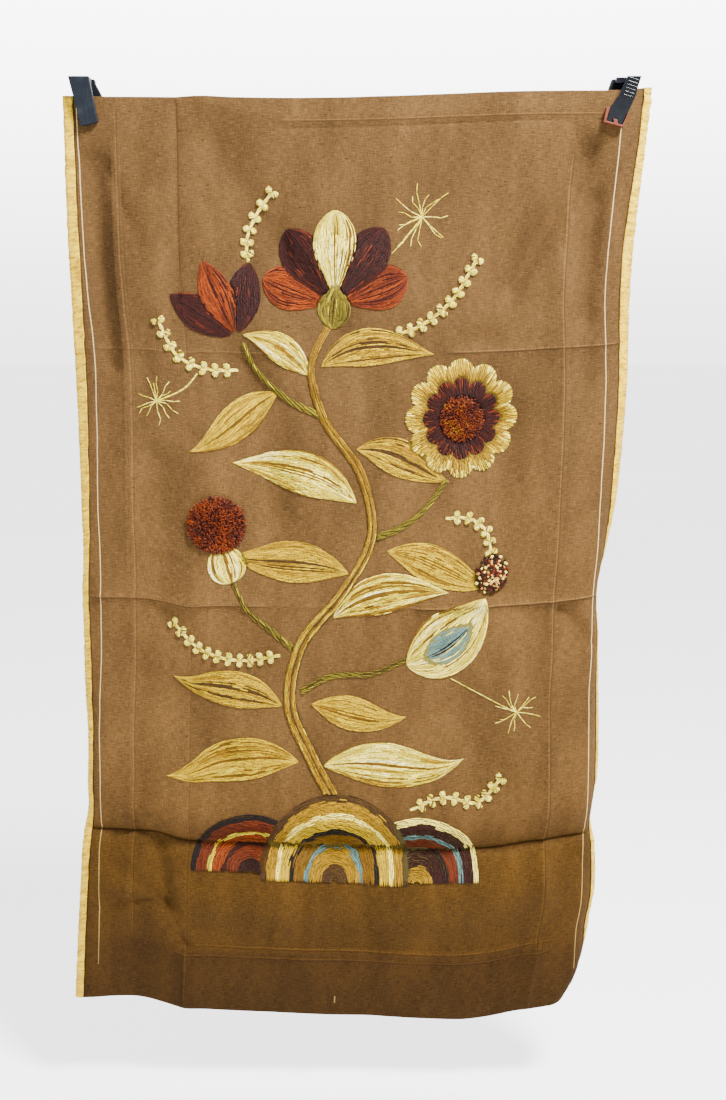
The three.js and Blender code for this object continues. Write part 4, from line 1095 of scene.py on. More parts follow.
def strand_mesh(centres, normals, radius, pinch=0.62):
    """Closed strands, one for each row of centres: a point at each end and a four-cornered section
    at each station between, as wide as the radius there and a little flatter than wide. Gives the
    points, the faces and, for each face corner, the place along and round the strand."""
    count, stations = centres.shape[:2]
    ahead = unit(np.gradient(centres, axis=1))
    side = unit(np.cross(ahead, normals))
    rings = stations - 2
    angles = 2 * np.pi * np.arange(SIDES) / SIDES
    across = radius[:, 1:-1, None, None] * np.cos(angles)[:, None] * side[:, 1:-1, None, :]
    up = pinch * radius[:, 1:-1, None, None] * np.sin(angles)[:, None] * normals[:, 1:-1, None, :]
    ring_points = (centres[:, 1:-1, None, :] + across + up).reshape(count, rings * SIDES, 3)
    points = np.concatenate([centres[:, :1], ring_points, centres[:, -1:]], 1)
    each = points.shape[1]
    k = np.arange(SIDES)
    following = (k + 1) % SIDES
    quads = band_faces(1, rings, SIDES)
    quad_around = np.tile(np.stack([k, k, k + 1, k + 1], -1) / SIDES, (rings - 1, 1))
    last = 1 + (rings - 1) * SIDES
    tips = np.concatenate([
        np.stack([0 * k, 1 + k, 1 + following], -1),
        np.stack([0 * k + each - 1, last + following, last + k], -1),
    ])
    tip_around = np.concatenate([[k + 0.5, k, k + 1], [k + 0.5, k + 1, k]], 1).T / SIDES
    station_of = np.concatenate([[0], 1 + np.repeat(np.arange(rings), SIDES), [stations - 1]])
    steps = np.linalg.norm(np.diff(centres, axis=1), axis=2)
    along = np.concatenate([np.zeros((count, 1)), np.cumsum(steps, 1)], 1)[:, station_of]
    base = (np.arange(count) * each)[:, None, None]
    faces, places = [], []
    for shape, around in ((quads, quad_around), (tips, tip_around)):
        faces.append((shape[None] + base).reshape(-1, shape.shape[1]))
        turn = np.broadcast_to(around[None], (count, *around.shape))
        places.append(np.stack([along[:, shape], turn], -1).reshape(-1, 2))
    return points.reshape(-1, 3), faces, np.concatenate(places), each


class Work:
    """Gathers the pieces of one motif's mesh, so that they become one object."""

    def __init__(self):
        self.points, self.quads, self.tris = [], [], []
        self.quad_places, self.tri_places, self.colours = [], [], []
        self.count = 0

    def add(self, points, faces, places, colours):
        quads = [rows for rows in faces if rows.shape[1] == 4]
        tris = [rows for rows in faces if rows.shape[1] == 3]
        split = sum(rows.size for rows in quads)
        self.points.append(points)
        self.colours.append(colours)
        self.quads += [rows + self.count for rows in quads]
        self.tris += [rows + self.count for rows in tris]
        self.quad_places.append(places[:split])
        self.tri_places.append(places[split:])
        self.count += len(points)

    def finish(self, name, material, slot, *nodes):
        """Makes one object of what was added."""
        faces = [np.concatenate(rows) for rows in (self.quads, self.tris) if rows]
        places = np.concatenate(self.quad_places + self.tri_places)
        piece = mesh_object(
            name, np.concatenate(self.points) * MM, faces, material, uv=places,
            uv_name="strand", colours=np.concatenate(self.colours),
        )
        return attach(piece, slot, *nodes)


def tones(names, tone):
    """Colours for tones from 0 to 1, blended along a list of wools."""
    steps = np.array([WOOL[name] for name in names])
    place = np.clip(tone, 0, 1) * (len(names) - 1)
    i = np.minimum(place.astype(int), len(names) - 2)
    blend = smoothstep((place - i) * 1.6 - 0.3)[:, None]
    return steps[i] * (1 - blend) + steps[i + 1] * blend


def lay(work, s, t, colours, radius, lift, settings, rng):
    """Adds strands to a motif along rows of places on the flat cloth, arched a little and dipping
    into the cloth at both ends, as a stitch does."""
    f = STATIONS[None, :]
    arch = np.sin(np.pi * np.clip(f, 0.02, 0.98)) ** 0.5
    normals = facing(s[:, 2:4].mean(1), t[:, 2:4].mean(1))[:, None, :]
    normals = np.broadcast_to(normals, (*s.shape, 3))
    body = radius * (0.66 + 0.34 * arch)
    height = settings.cloth_half + lift + body * 0.5 + settings.arch * (arch - 0.55)
    height = height + rng.uniform(-0.06, 0.1, len(s))[:, None]
    centres = hung(s, t) + normals * height[..., None]
    points, faces, places, each = strand_mesh(centres, normals, body)
    work.add(points, faces, places, np.repeat(colours, each, axis=0))


def add_padding(work, patch, colour, settings, rows=26, columns=11):
    """The padding under a motif's stitches: a low closed slab that follows its shape, a little
    smaller, with its top just under the stitches."""
    low, high = patch.span
    inset = 0.015 * (high - low)
    across = np.linspace(low + inset, high - inset, columns)
    if patch.closed:
        rows, columns = 6, 144
        across = np.arange(columns) / columns
    u, v = np.meshgrid(np.linspace(0.015, 0.985, rows), across, indexing="ij")
    s, t = patch.place(u, v)
    out = facing(s, t)
    lift = 0.2 + patch.pad(u, v) * 0.92
    top = hung(s, t) + out * (settings.cloth_half + lift)[..., None]
    foot = hung(s, t) + out * (settings.cloth_half - 0.4)
    quads = slab_faces(rows, columns, patch.closed)
    (s0, s1, s2), (t0, t1, t2) = patch.place(np.array([0.5, 0.52, 0.5]), np.array([0.5, 0.5, 0.52]))
    if (s1 - s0) * (t2 - t0) > (t1 - t0) * (s2 - s0):
        quads = quads[:, ::-1]
    points = np.concatenate([top.reshape(-1, 3), foot.reshape(-1, 3)])
    work.add(points, [quads], np.zeros((quads.size, 2)), np.broadcast_to(colour, (len(points), 3)))


def stitch_colours(patch, wools, bands, style, across, middle, lane, spread, seed, rng):
    """A colour for each stitch. With bands each lane has the wool that a table gives for its share of
    v, and with the style rings the wools run from the start of u to its end. With the others they run
    lengthwise in uneven stripes, and the style stripes adds a rib of the first wool."""
    low, high = patch.span
    if bands:
        limits = np.array([limit for limit, _ in bands])
        chosen = np.array([WOOL[wool] for _, wool in bands])
        share = (across - low) / (high - low) + 0.012 * rng.standard_normal(len(across))
        return chosen[np.minimum(np.searchsorted(limits, share), len(bands) - 1)]
    if style == "rings":
        return tones(wools, middle + 0.16 * rng.standard_normal(len(middle)))
    stripe = lattice_noise(across * 7 + seed, middle * 2.2 + seed * 0.37, 1, 1, seed) * 0.5 + 0.5
    tone = 0.74 * stripe + 0.28 * rng.uniform(0, 1, len(stripe)) + 0.06 * (1 - np.abs(across))
    dark_lane = (np.random.default_rng(seed + 500).uniform(0, 1, len(patch.lanes)) < 0.13)[lane]
    marked = dark_lane & (rng.uniform(0, 1, len(lane)) < 0.8)
    if style == "stripes":
        marked |= (np.abs(across) < 0.55 * spread) & (middle < 0.86)
    return np.where(marked[:, None], WOOL[wools[0]] * 0.9, tones(wools, tone))


def stitch(work, patch, wools, settings, seed, length=STITCH_LENGTH, style="stripes", bands=None):
    """Works one patch: its padding, then a strand for each stitch, as far as they aren't under a
    patch that was worked before."""
    rng = np.random.default_rng(seed)
    start, end, across, lane = lane_stitches(patch, length, rng)
    spread = abs(np.diff(patch.lanes).mean())
    u = start[:, None] + (end - start)[:, None] * STATIONS
    v = across[:, None] + rng.uniform(-0.18, 0.18, len(across))[:, None] * spread
    slant = 0.9 if style == "stem" else 0.1
    v = v + slant * spread * (STATIONS - 0.5)
    shown = ~is_worked(*patch.place(u, v))
    first = np.argmax(shown, axis=1)
    last = len(STATIONS) - 1 - np.argmax(shown[:, ::-1], axis=1)
    row = np.arange(len(u))
    u = u[row, first][:, None] + (u[row, last] - u[row, first])[:, None] * STATIONS
    keep = shown.mean(1) > 0.4
    u, v, lane, across = u[keep], v[keep], lane[keep], across[keep]
    middle = u[:, 2:4].mean(1)
    colours = stitch_colours(patch, wools, bands, style, across, middle, lane, spread, seed, rng)
    colours = colours * rng.uniform(0.68, 1.24, (len(colours), 1))
    s, t = patch.place(u, v)
    radius = settings.strand_radius * patch.narrowing(u)
    lift = patch.pad(u, np.clip(v, *patch.span))
    # The padding is a dark tone of the stitches: painted shade in the gaps between them.
    add_padding(work, patch, colours.mean(0) * 0.22, settings)
    lay(work, s, t, colours, radius, lift, settings, rng)


def work_motif(name, patch, wools, settings, slot, seed, **choices):
    """Works one motif as a piece of its own."""
    work = Work()
    stitch(work, patch, wools, settings, seed, **choices)
    WORKED.append(patch.outline)
    return work.finish(f"{name}_stitches", settings.material, slot, name)


# The width and padding of a spray's stem, and how many steps its line is worked out in.
SPRAY_WIDTH = 2.4
SPRAY_RISE = 0.5
SPRAY_STEPS = 240


def work_spray(name, points, wools, settings, seed):
    """A fine stem in stem stitch, with a satin dot on either side at even steps along it."""
    work = Work()
    stem = ribbon_patch(points, (SPRAY_WIDTH, SPRAY_WIDTH), SPRAY_RISE, STEM_SPACING)
    line = smooth_line(points, SPRAY_STEPS + 1)
    ahead = line_tangents(line)
    length = float(np.linalg.norm(np.diff(line, axis=0), axis=1).sum())
    pairs = int(length / DOT["apart"])
    for i in range(1, pairs + 1):
        at = round(SPRAY_STEPS * i / pairs)
        for side in (-1, 1):
            off = side * DOT["off"]
            centre = (line[at, 0] - off * ahead[at, 1], line[at, 1] + off * ahead[at, 0])
            if is_worked(np.array([centre[0]]), np.array([centre[1]]))[0]:
                continue
            heading = math.degrees(math.atan2(-ahead[at, 1], ahead[at, 0])) + side * DOT["turn"]
            dot = dot_patch(centre, DOT["across"], heading, DOT["rise"])
            stitch(work, dot, wools, settings, seed + 7 * i + side, DOT_STITCH, style="dot")
    stitch(work, stem, wools[1:], settings, seed, STEM_STITCH, style="stem")
    return work.finish(f"{name}_stitches", settings.material, "wool_straw", name)


# A ray of a seed head is three straight stitches, each with its share of the length and turned by up
# to an angle in radians. The second strand of the stem lies a little beside the first.
RAY_SHARES = (0.4, 0.34, 0.26)
RAY_KINK = 0.42
SECOND_STRAND = (1.0, 0.4)
SEED_STRAND_RADIUS = 0.52


def work_seed_heads(name, heads, settings, seed):
    """Open seed heads: fine kinked rays of straight stitches that run out from the end of a stem."""
    rng = np.random.default_rng(seed)
    work = Work()
    starts, ends = [], []
    for centre, reach, rays, foot in heads:
        turn = 2 * np.pi * (np.arange(rays) + rng.uniform(-0.3, 0.3, rays)) / rays
        length = reach * rng.uniform(0.72, 1.08, rays)
        at = np.tile(np.array(centre, float), (rays, 1))
        for share in RAY_SHARES:
            bent = turn + rng.uniform(-RAY_KINK, RAY_KINK, rays)
            step = np.stack([np.cos(bent), -np.sin(bent)], -1) * (length * share)[:, None]
            starts.append(at)
            ends.append(at + step)
            at = at + step
        bow = (0.55 * foot[0] + 0.45 * centre[0] + 5, 0.5 * (foot[1] + centre[1]))
        stem = smooth_line((foot, bow, centre), 9)
        starts += [stem[:-1], stem[:-1] + SECOND_STRAND]
        ends += [stem[1:], stem[1:] + SECOND_STRAND]
    start, end = np.concatenate(starts), np.concatenate(ends)
    line = start[:, None] + (end - start)[:, None] * (STATIONS * 1.06 - 0.03)[None, :, None]
    s, t = line[..., 0], line[..., 1]
    keep = ~is_worked(s, t).any(1)
    s, t = s[keep], t[keep]
    colours = tones(("straw", "cream"), rng.uniform(0, 1, len(s))) * rng.uniform(0.8, 1.1, (len(s), 1))
    radius = np.full(s.shape, SEED_STRAND_RADIUS)
    lay(work, s, t, colours, radius, np.full(s.shape, 0.1), settings, rng)
    return work.finish(name, settings.material, "wool_straw")


def spiral(centre, across, along, count, reach, stray, rng):
    """Places that cover an oval evenly: the share of its radius grows as the root of the count, each
    place turns by the golden angle from the last one, and strays a little."""
    k = np.arange(count)
    share = np.sqrt((k + 0.5) / count) * reach
    turn = k * math.pi * (3 - math.sqrt(5)) + rng.normal(0, 0.1, count)
    s = centre[0] + share * across / 2 * np.cos(turn) + rng.normal(0, stray, count)
    t = centre[1] - share * along / 2 * np.sin(turn) + rng.normal(0, stray, count)
    return share, turn, s, t


def circles(axes, sides, rng):
    """For each axis, the points of a circle of radius 1 round it, from a random start."""
    side = unit(np.cross(axes, rng.normal(0, 1, axes.shape)))
    other = np.cross(axes, side)
    angles = 2 * np.pi * np.arange(sides) / sides
    return np.cos(angles)[:, None] * side[:, None, :] + np.sin(angles)[:, None] * other[:, None, :]


def head_work(points, quads, caps, colours, shade):
    """Many small solids of one form: a row of points for each, the faces of the first one, a colour
    for each and a painted shade for each point of one."""
    count, each = points.shape[:2]
    base = (np.arange(count) * each)[:, None, None]
    faces = [(rows + base).reshape(-1, rows.shape[1]) for rows in (quads, caps)]
    corners = sum(rows.size for rows in faces)
    with_painted_shade = np.repeat(colours, each, axis=0) * np.tile(shade, count)[:, None]
    work = Work()
    work.add(points.reshape(-1, 3), faces, np.full((corners, 2), 0.4), with_painted_shade)
    return work


# How much of the flat cloth a knot takes up in square millimetres, and how much of a head's rise its
# dome makes up. The rings of a knot from its foot up: their width and height beside its size, and
# their painted shade, dark at the foot and a little lighter at the top.
KNOT_AREA = 8.2
DOME_SHARE = 0.72
KNOT_SIDES = 7
KNOT_RINGS = ((0.72, -0.62, 0.45), (1.0, -0.05, 0.9), (0.74, 0.55, 1.05))

# The rings of a tuft from its root up: their height and width beside its own, and their painted
# shade, dark at the root.
TUFT_SIDES = 3
TUFT_RINGS = np.array([(0.0, 0.72, 0.35), (0.35, 0.9, 0.7), (0.8, 1.0, 1.0), (1.0, 0.45, 1.05)])


def work_knots(name, centre, across, along, rise, wools, slot, settings, seed):
    """A head of close French knots: small flattened balls that cover a low dome."""
    rng = np.random.default_rng(seed)
    count = int(math.pi / 4 * across * along / KNOT_AREA)
    share, _, s, t = spiral(centre, across, along, count, 0.96, 0.3, rng)
    out = facing(s, t)
    dome = np.sqrt(1 - share ** 2)
    lift = settings.cloth_half + rise * DOME_SHARE * dome + rng.uniform(0.3, 1.1, count)
    middle = (hung(s, t) + out * lift[:, None])[:, None]
    circle = circles(out, KNOT_SIDES, rng)
    size = rng.uniform(1.6, 2.2, count)[:, None, None]
    out = out[:, None]
    rings = [middle + size * (wide * circle + high * out) for wide, high, _ in KNOT_RINGS]
    points = np.concatenate([middle - 0.85 * size * out, *rings, middle + 0.6 * size * out], 1)
    j = np.arange(KNOT_SIDES)
    following = (j + 1) % KNOT_SIDES
    top = 1 + (len(KNOT_RINGS) - 1) * KNOT_SIDES
    caps = np.concatenate([
        np.stack([0 * j, 1 + following, 1 + j], -1),
        np.stack([0 * j + points.shape[1] - 1, top + j, top + following], -1),
    ])
    quads = turned_over(band_faces(1, len(KNOT_RINGS), KNOT_SIDES))
    chosen = np.array([WOOL[wool] for wool in wools])[rng.integers(0, len(wools), count)]
    chosen = chosen * rng.uniform(0.8, 1.15, (count, 1))
    # Painted shade: each knot dark at its foot, with a painted highlight on its top ring.
    shade = np.concatenate([[0.3], np.repeat([ring[2] for ring in KNOT_RINGS], KNOT_SIDES), [0.8]])
    work = head_work(points, quads, caps, chosen, shade)
    # The bed is a dark tone of the knots: painted shade in the gaps between them.
    add_bed(work, centre, across, along, rise * DOME_SHARE, chosen.mean(0) * 0.25, settings)
    return work.finish(f"{name}_knots", settings.material, slot, name)


def add_bed(work, centre, across, along, rise, colour, settings):
    """The low dome under a head of pile or knots, kept clear of the stitches worked after it."""
    def place(u, v):
        s = centre[0] + across / 2 * 0.96 * u * np.cos(2 * np.pi * v)
        return s, centre[1] - along / 2 * 0.96 * u * np.sin(2 * np.pi * v)

    rim = np.arange(40) / 40
    bed = Patch(
        place, np.stack(place(np.full(40, 1.04), rim), -1), rim, rim, None,
        lambda u, v: rise * np.sqrt(np.clip(1 - u * u, 0, 1)), span=(0.0, 1.0), closed=True,
    )
    add_padding(work, bed, colour, settings)
    WORKED.append(bed.outline)


def work_pile(name, centre, across, along, rise, wools, slot, settings, seed):
    """Cut pile: a low dome with short tufts all over it, which lean outwards more towards its rim.
    Each tuft is a three-sided strand that swells a little and ends in a blunt tip."""
    rng = np.random.default_rng(seed)
    count = int(across * along * settings.tufts_per_square)
    share, turn, s, t = spiral(centre, across, along, count, 0.97, 0.35, rng)
    out = facing(s, t)
    away = unit(hung(s + np.cos(turn), t - np.sin(turn)) - hung(s, t))
    dome = np.sqrt(1 - share ** 2)
    lean = unit(out * (dome + 0.3)[:, None] + away * share[:, None] + rng.normal(0, 0.25, (count, 3)))
    foot = hung(s, t) + out * (settings.cloth_half + rise * 0.62 * dome)[:, None]
    length = rise * (0.34 + 0.1 * rng.uniform(-1, 1, count))
    heights, widths, painted_shades = TUFT_RINGS.T
    middle = foot[:, None] + lean[:, None] * (length[:, None] * heights)[..., None]
    circle = circles(lean, TUFT_SIDES, rng)
    radii = (widths * settings.tuft_radius)[:, None, None]
    points = (middle[:, :, None] + radii * circle[:, None]).reshape(count, -1, 3)
    quads = turned_over(band_faces(0, len(TUFT_RINGS), TUFT_SIDES))
    caps = np.array([[2, 1, 0], [9, 10, 11]])
    colours = tones(wools, rng.uniform(0, 1, count) * 0.8 + 0.3 * lattice_noise(s, t, 9, 9, seed))
    colours = colours * rng.uniform(0.6, 1.2, (count, 1))
    # Painted shade: each tuft dark at its root, a little lighter at its tip.
    work = head_work(points, quads, caps, colours, np.repeat(painted_shades, TUFT_SIDES))
    # The bed is a dark tone of the tufts: painted shade in the gaps between them.
    add_bed(work, centre, across, along, rise * 0.66, colours.mean(0) * 0.3, settings)
    return work.finish(f"{name}_tufts", settings.pile_material, slot, name)


# The embroidery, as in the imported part: places are (s, t) on the flat cloth, headings are in degrees
# from the right towards the top, and a bend and a curl turn the middle line on its way.
LEAVES = (
    ("leaf_foot_left", (262, 760), 168, 168, 52, 62, -40),
    ("leaf_foot_right", (292, 764), 12, 176, 52, -52, 70),
    ("leaf_low_left", (240, 694), 150, 140, 44, 60, -50),
    ("leaf_low_right", (276, 690), -8, 120, 40, -20, 46),
    ("leaf_heart_right", (300, 586), 40, 150, 46, -66, 20),
    ("leaf_mid_left", (318, 534), 158, 150, 48, 54, -50),
    ("leaf_mid_right", (364, 508), -4, 140, 44, -56, 60),
    ("leaf_back_left", (326, 452), 136, 160, 50, 70, -30),
    ("leaf_high_right", (325, 390), 4, 120, 42, -70, 50),
    ("leaf_high_left", (232, 326), 206, 128, 42, 44, -60),
    ("leaf_crown_left", (268, 306), 124, 90, 34, 50, 0),
    ("leaf_crown_right", (284, 296), 38, 140, 42, -80, 30),
)
LEAF_WOOLS = (
    ("wool_yellow", ("ochre", "gold", "yellow", "yellow", "straw")),
    ("wool_cream", ("ochre", "gold", "straw", "cream", "white")),
    ("wool_gold", ("brown", "gold", "yellow", "gold")),
)
TRUNK = (
    (304, 800), (276, 750), (250, 690), (262, 618), (312, 556), (346, 488), (330, 416), (286, 354),
    (272, 296), (294, 252),
)
TRUNK_WIDTHS = (18, 17, 16, 15, 13, 12, 11, 10, 9, 8)
BRANCHES = (
    ("branch_low_right", ((262, 676), (300, 656), (350, 652), (392, 634))),
    ("branch_low_left", ((258, 628), (226, 604), (196, 580), (176, 546))),
    ("branch_mid_right", ((346, 494), (388, 476), (420, 446), (434, 424))),
    ("branch_high_left", ((284, 352), (244, 334), (206, 300), (192, 270))),
)
BRANCH_WIDTHS = (7, 6, 5, 5)
GREENS = ("brown", "olive", "olive", "straw")
GOLD_BANDS = (
    (0.07, "brown"), (0.2, "gold"), (0.26, "cream"), (0.4, "yellow"), (0.46, "black"), (0.62, "ochre"),
    (0.68, "blue"), (0.85, "gold"), (1.0, "brown"),
)
RUST_BANDS = (
    (0.09, "black"), (0.28, "rust"), (0.36, "straw"), (0.54, "orange"), (0.62, "burgundy"), (0.82, "rust"),
    (1.0, "dark"),
)
BURGUNDY_BANDS = (
    (0.09, "cream"), (0.26, "burgundy"), (0.34, "blue"), (0.52, "rust"), (0.6, "dark"), (0.8, "burgundy"),
    (1.0, "gold"),
)
HILLOCKS = (
    ("hillock_front", 310, 908, 184, 110, "wool_gold", GOLD_BANDS),
    ("hillock_left", 206, 900, 150, 74, "wool_rust", RUST_BANDS),
    ("hillock_right", 414, 903, 150, 80, "wool_burgundy", BURGUNDY_BANDS),
)
CREAM_PETAL = ("ochre", "straw", "cream", "white")
BURGUNDY_PETAL = ("dark", "burgundy", "burgundy", "rust")
RUST_PETAL = ("burgundy", "rust", "orange", "rust")
CROWN = (305, 228)
CROWN_PETALS = (
    ("crown_petal_middle", 90, 96, "wool_cream", CREAM_PETAL),
    ("crown_petal_upper_left", 124, 92, "wool_burgundy", BURGUNDY_PETAL),
    ("crown_petal_upper_right", 56, 92, "wool_burgundy", BURGUNDY_PETAL),
    ("crown_petal_lower_left", 160, 80, "wool_rust", RUST_PETAL),
    ("crown_petal_lower_right", 20, 80, "wool_rust", RUST_PETAL),
)
BELL = (187, 268)
BELL_PETALS = (
    ("bell_petal_middle", 112, 84, "wool_rust", RUST_PETAL),
    ("bell_petal_left", 146, 80, "wool_burgundy", BURGUNDY_PETAL),
    ("bell_petal_right", 78, 80, "wool_burgundy", BURGUNDY_PETAL),
)
DAISY = (450, 356)
PILES = (
    ("thistle_head", (158, 480), 68, 66, 9, RUST_PETAL, "pile_rust"),
    ("daisy_eye", DAISY, 50, 50, 8, ("burgundy", "rust", "orange", "gold"), "pile_rust"),
)
BUD_WOOLS = ("dark", "burgundy", "burgundy", "rust", "peach", "cream")
BUD = ("bud_head", (494, 536), 44, 46, 8, BUD_WOOLS, "pile_dark")
SEED_HEADS = (
    ((404, 132), 36, 15, (356, 184)),
    ((88, 340), 28, 13, (136, 306)),
    ((530, 700), 30, 13, (447, 656)),
)
SPRAYS = (
    ("spray_crown_right", ((336, 262), (392, 256), (440, 226), (470, 180))),
    ("spray_crown_left", ((205, 184), (203, 158), (212, 130), (232, 102))),
    ("spray_low_left", ((236, 632), (190, 640), (142, 630), (104, 598))),
    ("spray_bell", ((184, 302), (148, 302), (112, 284), (96, 248))),
    ("spray_bud", ((434, 470), (462, 470), (484, 486), (491, 511))),
    ("spray_foot", ((400, 814), (440, 798), (484, 804), (512, 778))),
)
SPRAY_WOOLS = ("ochre", "straw", "cream", "straw")

# The dots of a spray: their size and padding, how far apart they are along the stem and how far off
# it, and how their stitches turn from it in degrees.
DOT = {"across": 8.0, "rise": 2.3, "apart": 13.0, "off": 4.2, "turn": 50}


class Needlework:
    """The sizes of the stitches in millimetres, and their materials."""

    def __init__(self, scene):
        cloth, stitches = scene.crewel_cloth, scene.crewel_stitches
        self.cloth_half = cloth.thickness * 500
        self.strand_radius = stitches.strand_width * 500
        self.arch = stitches.arch * 1000
        self.tuft_radius = stitches.tuft_width * 500
        self.tufts_per_square = stitches.tuft_density * 1e-6
        self.material = wool_material("crewel_wool")
        self.pile_material = wool_material("cut_pile_wool", twist_pitch=4.0, sheen=0.08)


def moulding(name, parts, material, rounding):
    """A moulded piece of one or more bars. Each bar is an outline in x and z, carried in y from its
    outer face to its inner one. A face may lean: it is a height plus a slope times z. The edges are
    rounded by a bevel."""
    points, faces, first = [], [], 0
    for outline, outer, inner in parts:
        x, z = np.array(outline, float).T
        if (x * np.roll(z, -1) - np.roll(x, -1) * z).sum() < 0:
            x, z = x[::-1], z[::-1]
        for base, slope in sorted((outer, inner), key=lambda face: face[0] + face[1] * z[0]):
            points.append(np.stack([x, base + slope * z, z], -1))
        count = len(x)
        k = np.arange(count)
        faces += [band_faces(first, 2, count), first + np.stack([k, count + k[::-1]])]
        first += 2 * count
    piece = mesh_object(name, np.concatenate(points) * MM, faces, material)
    bevel = piece.modifiers.new("rounded_edges", "BEVEL")
    bevel.width = rounding * MM
    bevel.segments = 3
    bevel.limit_method = "ANGLE"
    bevel.angle_limit = math.radians(28)
    bevel.harden_normals = True
    return piece


# The two clamps, in x and z. An arm's inner face leans away from the cloth towards its top. The ribs
# lie between two places on the right handle, each as wide and high as given and turned by degrees.
ARM_SLOPE = 0.09
ARM_ROUNDING = 1.1
FINE_ROUNDING = 0.5
ARM_THICK = 7.0
JAW_CLEAR = 1.6
LEFT_FRONT = ((-309, 0), (-286, 0), (-278.2, -48.4), (-297.2, -52.4))
LEFT_REAR = ((-305, 0), (-283.4, 0), (-282.4, -5), (-276, -17), (-271, -46), (-294, -50))
RIGHT_FRONT = (
    (304, 0), (319.5, 0), (316, -11), (314, -20.5), (306.6, -37.6), (305.3, -38.5), (299.9, -51.0),
    (296.1, -50.0), (294.9, -45.3), (289.2, -43.9), (290.3, -48.6), (282.9, -46.5), (286.4, -33.2),
    (287.5, -31.2), (295.5, -20),
)
RIGHT_REAR = ((290.2, 0), (312, 0), (306, -50), (280, -46), (286, -13))
JAW_RIM = (
    (282.4, -32.4), (279.2, -48.4), (301.2, -53.8), (307.4, -39), (305.9, -38.4), (300.2, -51.6),
    (295.6, -50.4), (294.4, -45.8), (289.8, -44.6), (290.9, -49.2), (282.4, -47), (286, -33.2),
)
HINGES = (("left", -307.0, -286.0), ("right", 293.0, 316.0))
RIBS = {
    "from": (311.4, -3.4), "to": (305.6, -21.0), "count": 6, "width": 11.0, "height": 1.5, "turn": 17.0,
    "proud": 0.9,
}


def arm_faces(outline, is_front):
    """The outer and inner faces of an arm, each a height at z = 0 and a slope."""
    lowest = min(z for _, z in outline)
    side = -1 if is_front else 1
    inner = JAW_CLEAR - lowest * ARM_SLOPE
    return (side * (inner + ARM_THICK), side * ARM_SLOPE), (side * inner, side * ARM_SLOPE)


def rib_parts(face):
    """The cross ribs of the right handle, evenly spaced between the first and the last: each is a
    short turned strip that stands off the outer face."""
    (x0, z0), (x1, z1) = RIBS["from"], RIBS["to"]
    turn = math.radians(RIBS["turn"])
    along, down = (math.cos(turn), -math.sin(turn)), (-math.sin(turn), -math.cos(turn))
    base, slope = face
    outer, inner = (base - RIBS["proud"], slope), (base + 0.5, slope)

    corners = [
        (a * RIBS["width"] / 2, b * RIBS["height"] / 2) for a, b in ((-1, -1), (1, -1), (1, 1), (-1, 1))
    ]
    parts = []
    for share in np.linspace(0, 1, RIBS["count"]):
        x, z = x0 + (x1 - x0) * share, z0 + (z1 - z0) * share
        strip = [(x + a * along[0] + b * down[0], z + a * along[1] + b * down[1]) for a, b in corners]
        parts.append((strip, outer, inner))
    return parts


def build_clamps(settings):
    """Two spring clamps, each of two moulded arms that are joined by a hinge over the cloth's top
    edge. The right one has ribs on its handle and a soft cup round its jaw."""
    slate = moulding_material("slate_moulding", settings.left_colour, 0.5, gloss=0.12, dusty=0.6)
    black = moulding_material("black_moulding", settings.right_colour, 0.18, 0.1, gloss=0.3, dusty=0.1)
    # Painted shade: both rear arms take a darker copy of the left clamp's colour.
    rear_arm_painted_shade = tuple(value * 0.3 for value in settings.left_colour)
    with_painted_shade = moulding_material("painted_shade_moulding", rear_arm_painted_shade, 0.6, gloss=0.08, dusty=0.1)
    soft = moulding_material("soft_orange_jaw", settings.jaw_colour, 0.45, dusty=0.3)
    made = []
    arms = (
        ("clamp_left_front_arm", LEFT_FRONT, True, slate),
        ("clamp_left_rear_arm", LEFT_REAR, False, with_painted_shade),
        ("clamp_right_front_arm", RIGHT_FRONT, True, black),
        ("clamp_right_rear_arm", RIGHT_REAR, False, with_painted_shade),
    )
    for name, outline, is_front, material in arms:
        faces = arm_faces(outline, is_front)
        parts = [(outline, *faces)]
        if name == "clamp_right_front_arm":
            parts += rib_parts(faces[0])
        rounding = FINE_ROUNDING if len(parts) > 1 else ARM_ROUNDING
        piece = moulding(f"{name}_moulding", parts, material, rounding)
        made.append(attach(piece, "black_moulding", name))
    for (side, x0, x1), material in zip(HINGES, (slate, black)):
        outline = ((x0, 0), (x1, 0), (x1, -6), (x0, -6))
        piece = moulding(f"clamp_{side}_hinge_moulding", [(outline, (-5.5, 0), (5.5, 0))], material, 0.7)
        made.append(attach(piece, "black_moulding", f"clamp_{side}_hinge"))
    cup = moulding("clamp_right_jaw_cup", [(JAW_RIM, (-10.6, 0), (-1.6, 0))], soft, FINE_ROUNDING)
    made.append(attach(cup, "soft_jaw", "clamp_right_jaw"))
    return made


# The floor's size and height, the lights, and the camera at the photograph's viewing angle, in metres.
FLOOR_RADIUS = 60.0
FLOOR_HEIGHT = -1.2
KEY_LIGHT = {"place": (0.8, -1.0, 1.2), "target": (0.0, 0.0, -0.45), "size": 0.6}
FILL_LIGHT = {"place": (-1.6, -1.5, -0.3), "target": (0.0, 0.0, -0.6), "size": 1.4}
CAMERA_PLACE = (0.0143, -1.5824, -0.2902)
CAMERA_TARGET = (0.01435, 0.0, -0.52667)
LENS_MM = 45.14


def aimed(name, data, place, target):
    """Puts a light or camera at a place, facing a target."""
    made = bpy.data.objects.new(name, data)
    made.location = place
    made.rotation_euler = (Vector(target) - Vector(place)).to_track_quat("-Z", "Y").to_euler()
    bpy.context.scene.collection.objects.link(made)
    return made


